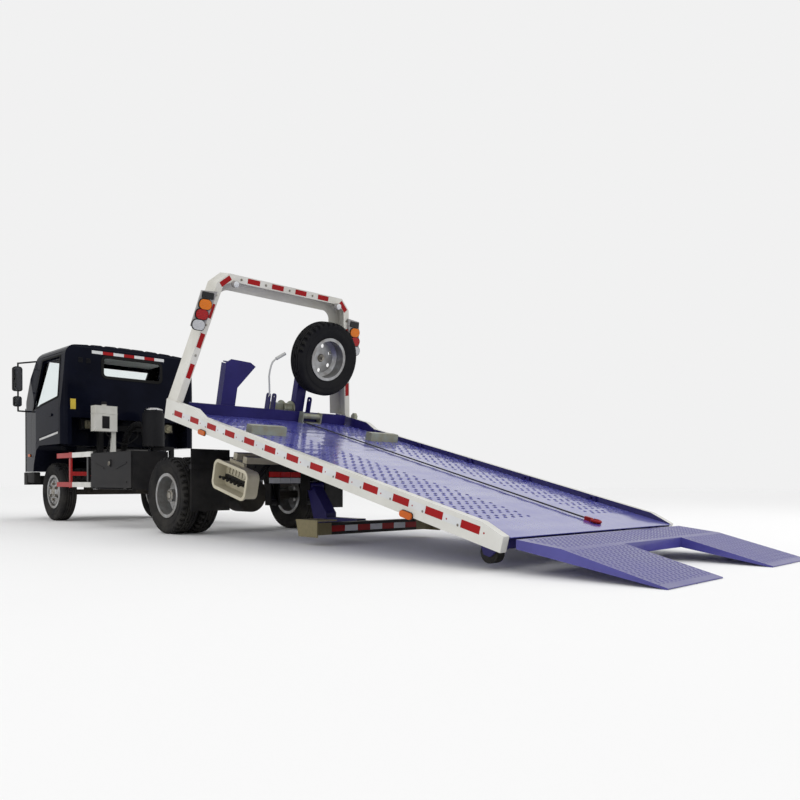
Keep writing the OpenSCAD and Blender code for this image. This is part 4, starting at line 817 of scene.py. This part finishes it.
glass_section = [(0.0, 0.005), (0.02, 0.004), (0.028, 0.0), (0.0, 0.0)]
blocks, bolts, bezels, work_glass = bmesh.new(), bmesh.new(), bmesh.new(), bmesh.new()
for side in (-1, 1):
    for w in (0.388, 0.680, 0.966):
        tape_block(blocks, 0.024, 0.07, at((HEAD_U, side * (post_y(w) - POST_MIDDLE), w))
                   @ Matrix.Rotation(side * math.atan(POST_LEAN), 4, "X"))
        above = w + POST_BOLT
        bolt(bolts, at((HEAD_U, side * (post_y(above) - POST_MIDDLE), above), -90, "Y"), 0.016, 0.008)
    tape_block(blocks, 0.024, 0.062, at((HEAD_U, side * 0.722, 1.258)) @ Matrix.Rotation(side * 0.844, 4, "X"))
    for w in (0.821, 0.919, 1.013):
        y = side * (post_y(w) + 0.06)
        rim = [(HEAD_U - 0.022, a, b) for a, b in oblong(y - 0.07, y + 0.07, w - 0.052, w + 0.052)]
        seal(bezels, rim, 0.05, 0.0075, (-0.011, 0, 0))
    turned(work_glass, glass_section, 24, at((HEAD_U - 0.046, side * 0.63, 1.247), 90))
for y in (0.415, 0.135, -0.15, -0.44):
    tape_block(blocks, 0.07, 0.024, at((HEAD_U, y, 1.302)))
    bolt(bolts, at((HEAD_U, y + 0.14, 1.3), -90, "Y"), 0.016, 0.008)
part("headboard_tape", blocks, tape_red, "bed", BED)
part("headboard_bolts", bolts, zinc_nuts, "bed", BED)
part("lamp_bezels", bezels, moulded, "bed", BED)
part("work_lamp_glass", work_glass, clear_lens, "bed", BED)

# Front gear: winch, wire rope with its red hook, wheel stops and the spare wheel's clamp.
# The rope is drawn tight along the deck; a bent lever with a pale grip frees the winch.
LEVER_U = 3.9
zinc = coated("zinc", (0.27, 0.30, 0.255), (0.25, 0.235, 0.16), (0.35, 0.52), metal=0.3, dust=0.05, patch=11.0)
dress(zinc, "winch", "wheel_stops")
rope_steel = coated("rope_steel", (0.03, 0.03, 0.032), (0.06, 0.06, 0.06), (0.4, 0.6), metal=0.6, dust=0.1)
hook_end = AHEAD.dot(BED @ Vector((0.245, 0, 0)))
second_colour(rope_steel, tuple(AHEAD), -10.0, hook_end, (0.35, 0.008, 0.01))
dress(rope_steel, "winch_cable")
pale_grip = coated("pale_grip", (0.52, 0.53, 0.52), (0.42, 0.42, 0.40), (0.4, 0.55), dust=0.1)
rod_run = ((0.068, 0.24), (0.09, 0.35), (0.108, 0.429), (0.108, 0.49), (0.102, 0.543), (0.09, 0.578), (0.07, 0.603),
           (0.044, 0.622))
grip_run = ((0.052, 0.616), (0.02, 0.638), (-0.046, 0.681))
lever = bmesh.new()
for run, radius in ((rod_run, 0.009), (grip_run, 0.017)):
    pipe(lever, [(LEVER_U, y, w) for y, w in run], radius)
part("winch_lever", lever, pale_grip, "bed", BED)
clamp = bmesh.new()
turned(clamp, [(0.0, 0.02), (0.034, 0.016), (0.046, 0.0), (0.0, 0.0)], 24, BED @ at((3.894, *SPARE_SPOT[1:]), 90))
bolt(clamp, BED @ at((3.875, *SPARE_SPOT[1:]), -90, "Y"), 0.036, 0.03)
part("spare_clamp", clamp, zinc_nuts, "bed")

# Ramp: folded plate in the bed's blue, with lozenges rolled up in its tread, hinged to the deck's tail.
# The rollers under the tail are solid black rubber on steel.
TREAD_STEP = 0.045
RAMP_TOP, RAMP_KNEE, RAMP_FOOT = Vector((-3.904, 0.0, 0.194)), Vector((-4.2, 0.0, 0.16)), Vector((-4.8, 0.0, 0.008))
ramp_blue = coated("ramp_blue", (0.036, 0.032, 0.21), (0.06, 0.056, 0.28), (0.28, 0.48), coat=0.35, dust=0.15,
                   grain=0.0004)
dress(ramp_blue, "ramp")
dress(rubber, "ground_rollers")
for name, top, foot, first_x, first_y, along, wide in (
        ("tread_hinge", RAMP_TOP, RAMP_KNEE, 0.035, -0.99, 6, 44),
        ("tread_left", RAMP_KNEE, RAMP_FOOT, 0.045, 0.405, 12, 14),
        ("tread_right", RAMP_KNEE, RAMP_FOOT, 0.045, -1.012, 12, 14)):
    fall = (foot - top).normalized()
    bars = bmesh.new()
    for k in (0, 1):
        place = at((-first_x - k * TREAD_STEP / 2, first_y + k * TREAD_STEP / 2, 0.0007), 90 * k)
        stub(bars, 4, 0.018, 0.012, 0.0018, place @ Matrix.Diagonal((1.0, 0.34, 1.0, 1.0)))
    tilt = at(top) @ Matrix.Rotation(math.atan2(fall.z, -fall.x), 4, "Y")
    made = part(name, bars, ramp_blue, "ramp", tilt)
    rows(made, along, fall * TREAD_STEP)
    rows(made, wide, (0, TREAD_STEP, 0))

# Wheel lift: welded arm in blue with a sliding boom, and a black crossbar with zinc plated ends.
# Red and white tape marks the crossbar for traffic behind.
# The arm takes the darker copy of the bed's blue, which is painted shade.
dress(shaded_bed_blue, "wheel_lift_arm")
lift_black = coated("lift_black", PAINT_BLACK, (0.02, 0.019, 0.019), (0.35, 0.5), mud=0.12, ior=1.17)
for low, high in ((0.51, 1.0), (-1.0, -0.51)):
    second_colour(lift_black, (0, 1, 0), low, high, (0.26, 0.225, 0.13))
dress(lift_black, "wheel_lift_bar")
bar_low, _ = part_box("wheel_lift_bar")
bar_back = bar_low.x + 0.095
for name, finish, first in (("lift_tape_red", tape_red, 0), ("lift_tape_white", tape_white, 1)):
    strip = bmesh.new()
    for k in range(first, 7, 2):
        y = -0.51 + 0.1457 * k
        block(strip, (bar_back - TAPE_THICK, y, 0.105), (bar_back, y + 0.1447, 0.155), TAPE_EDGE, 1)
    part(name, strip, finish, "wheel_lift_bar")
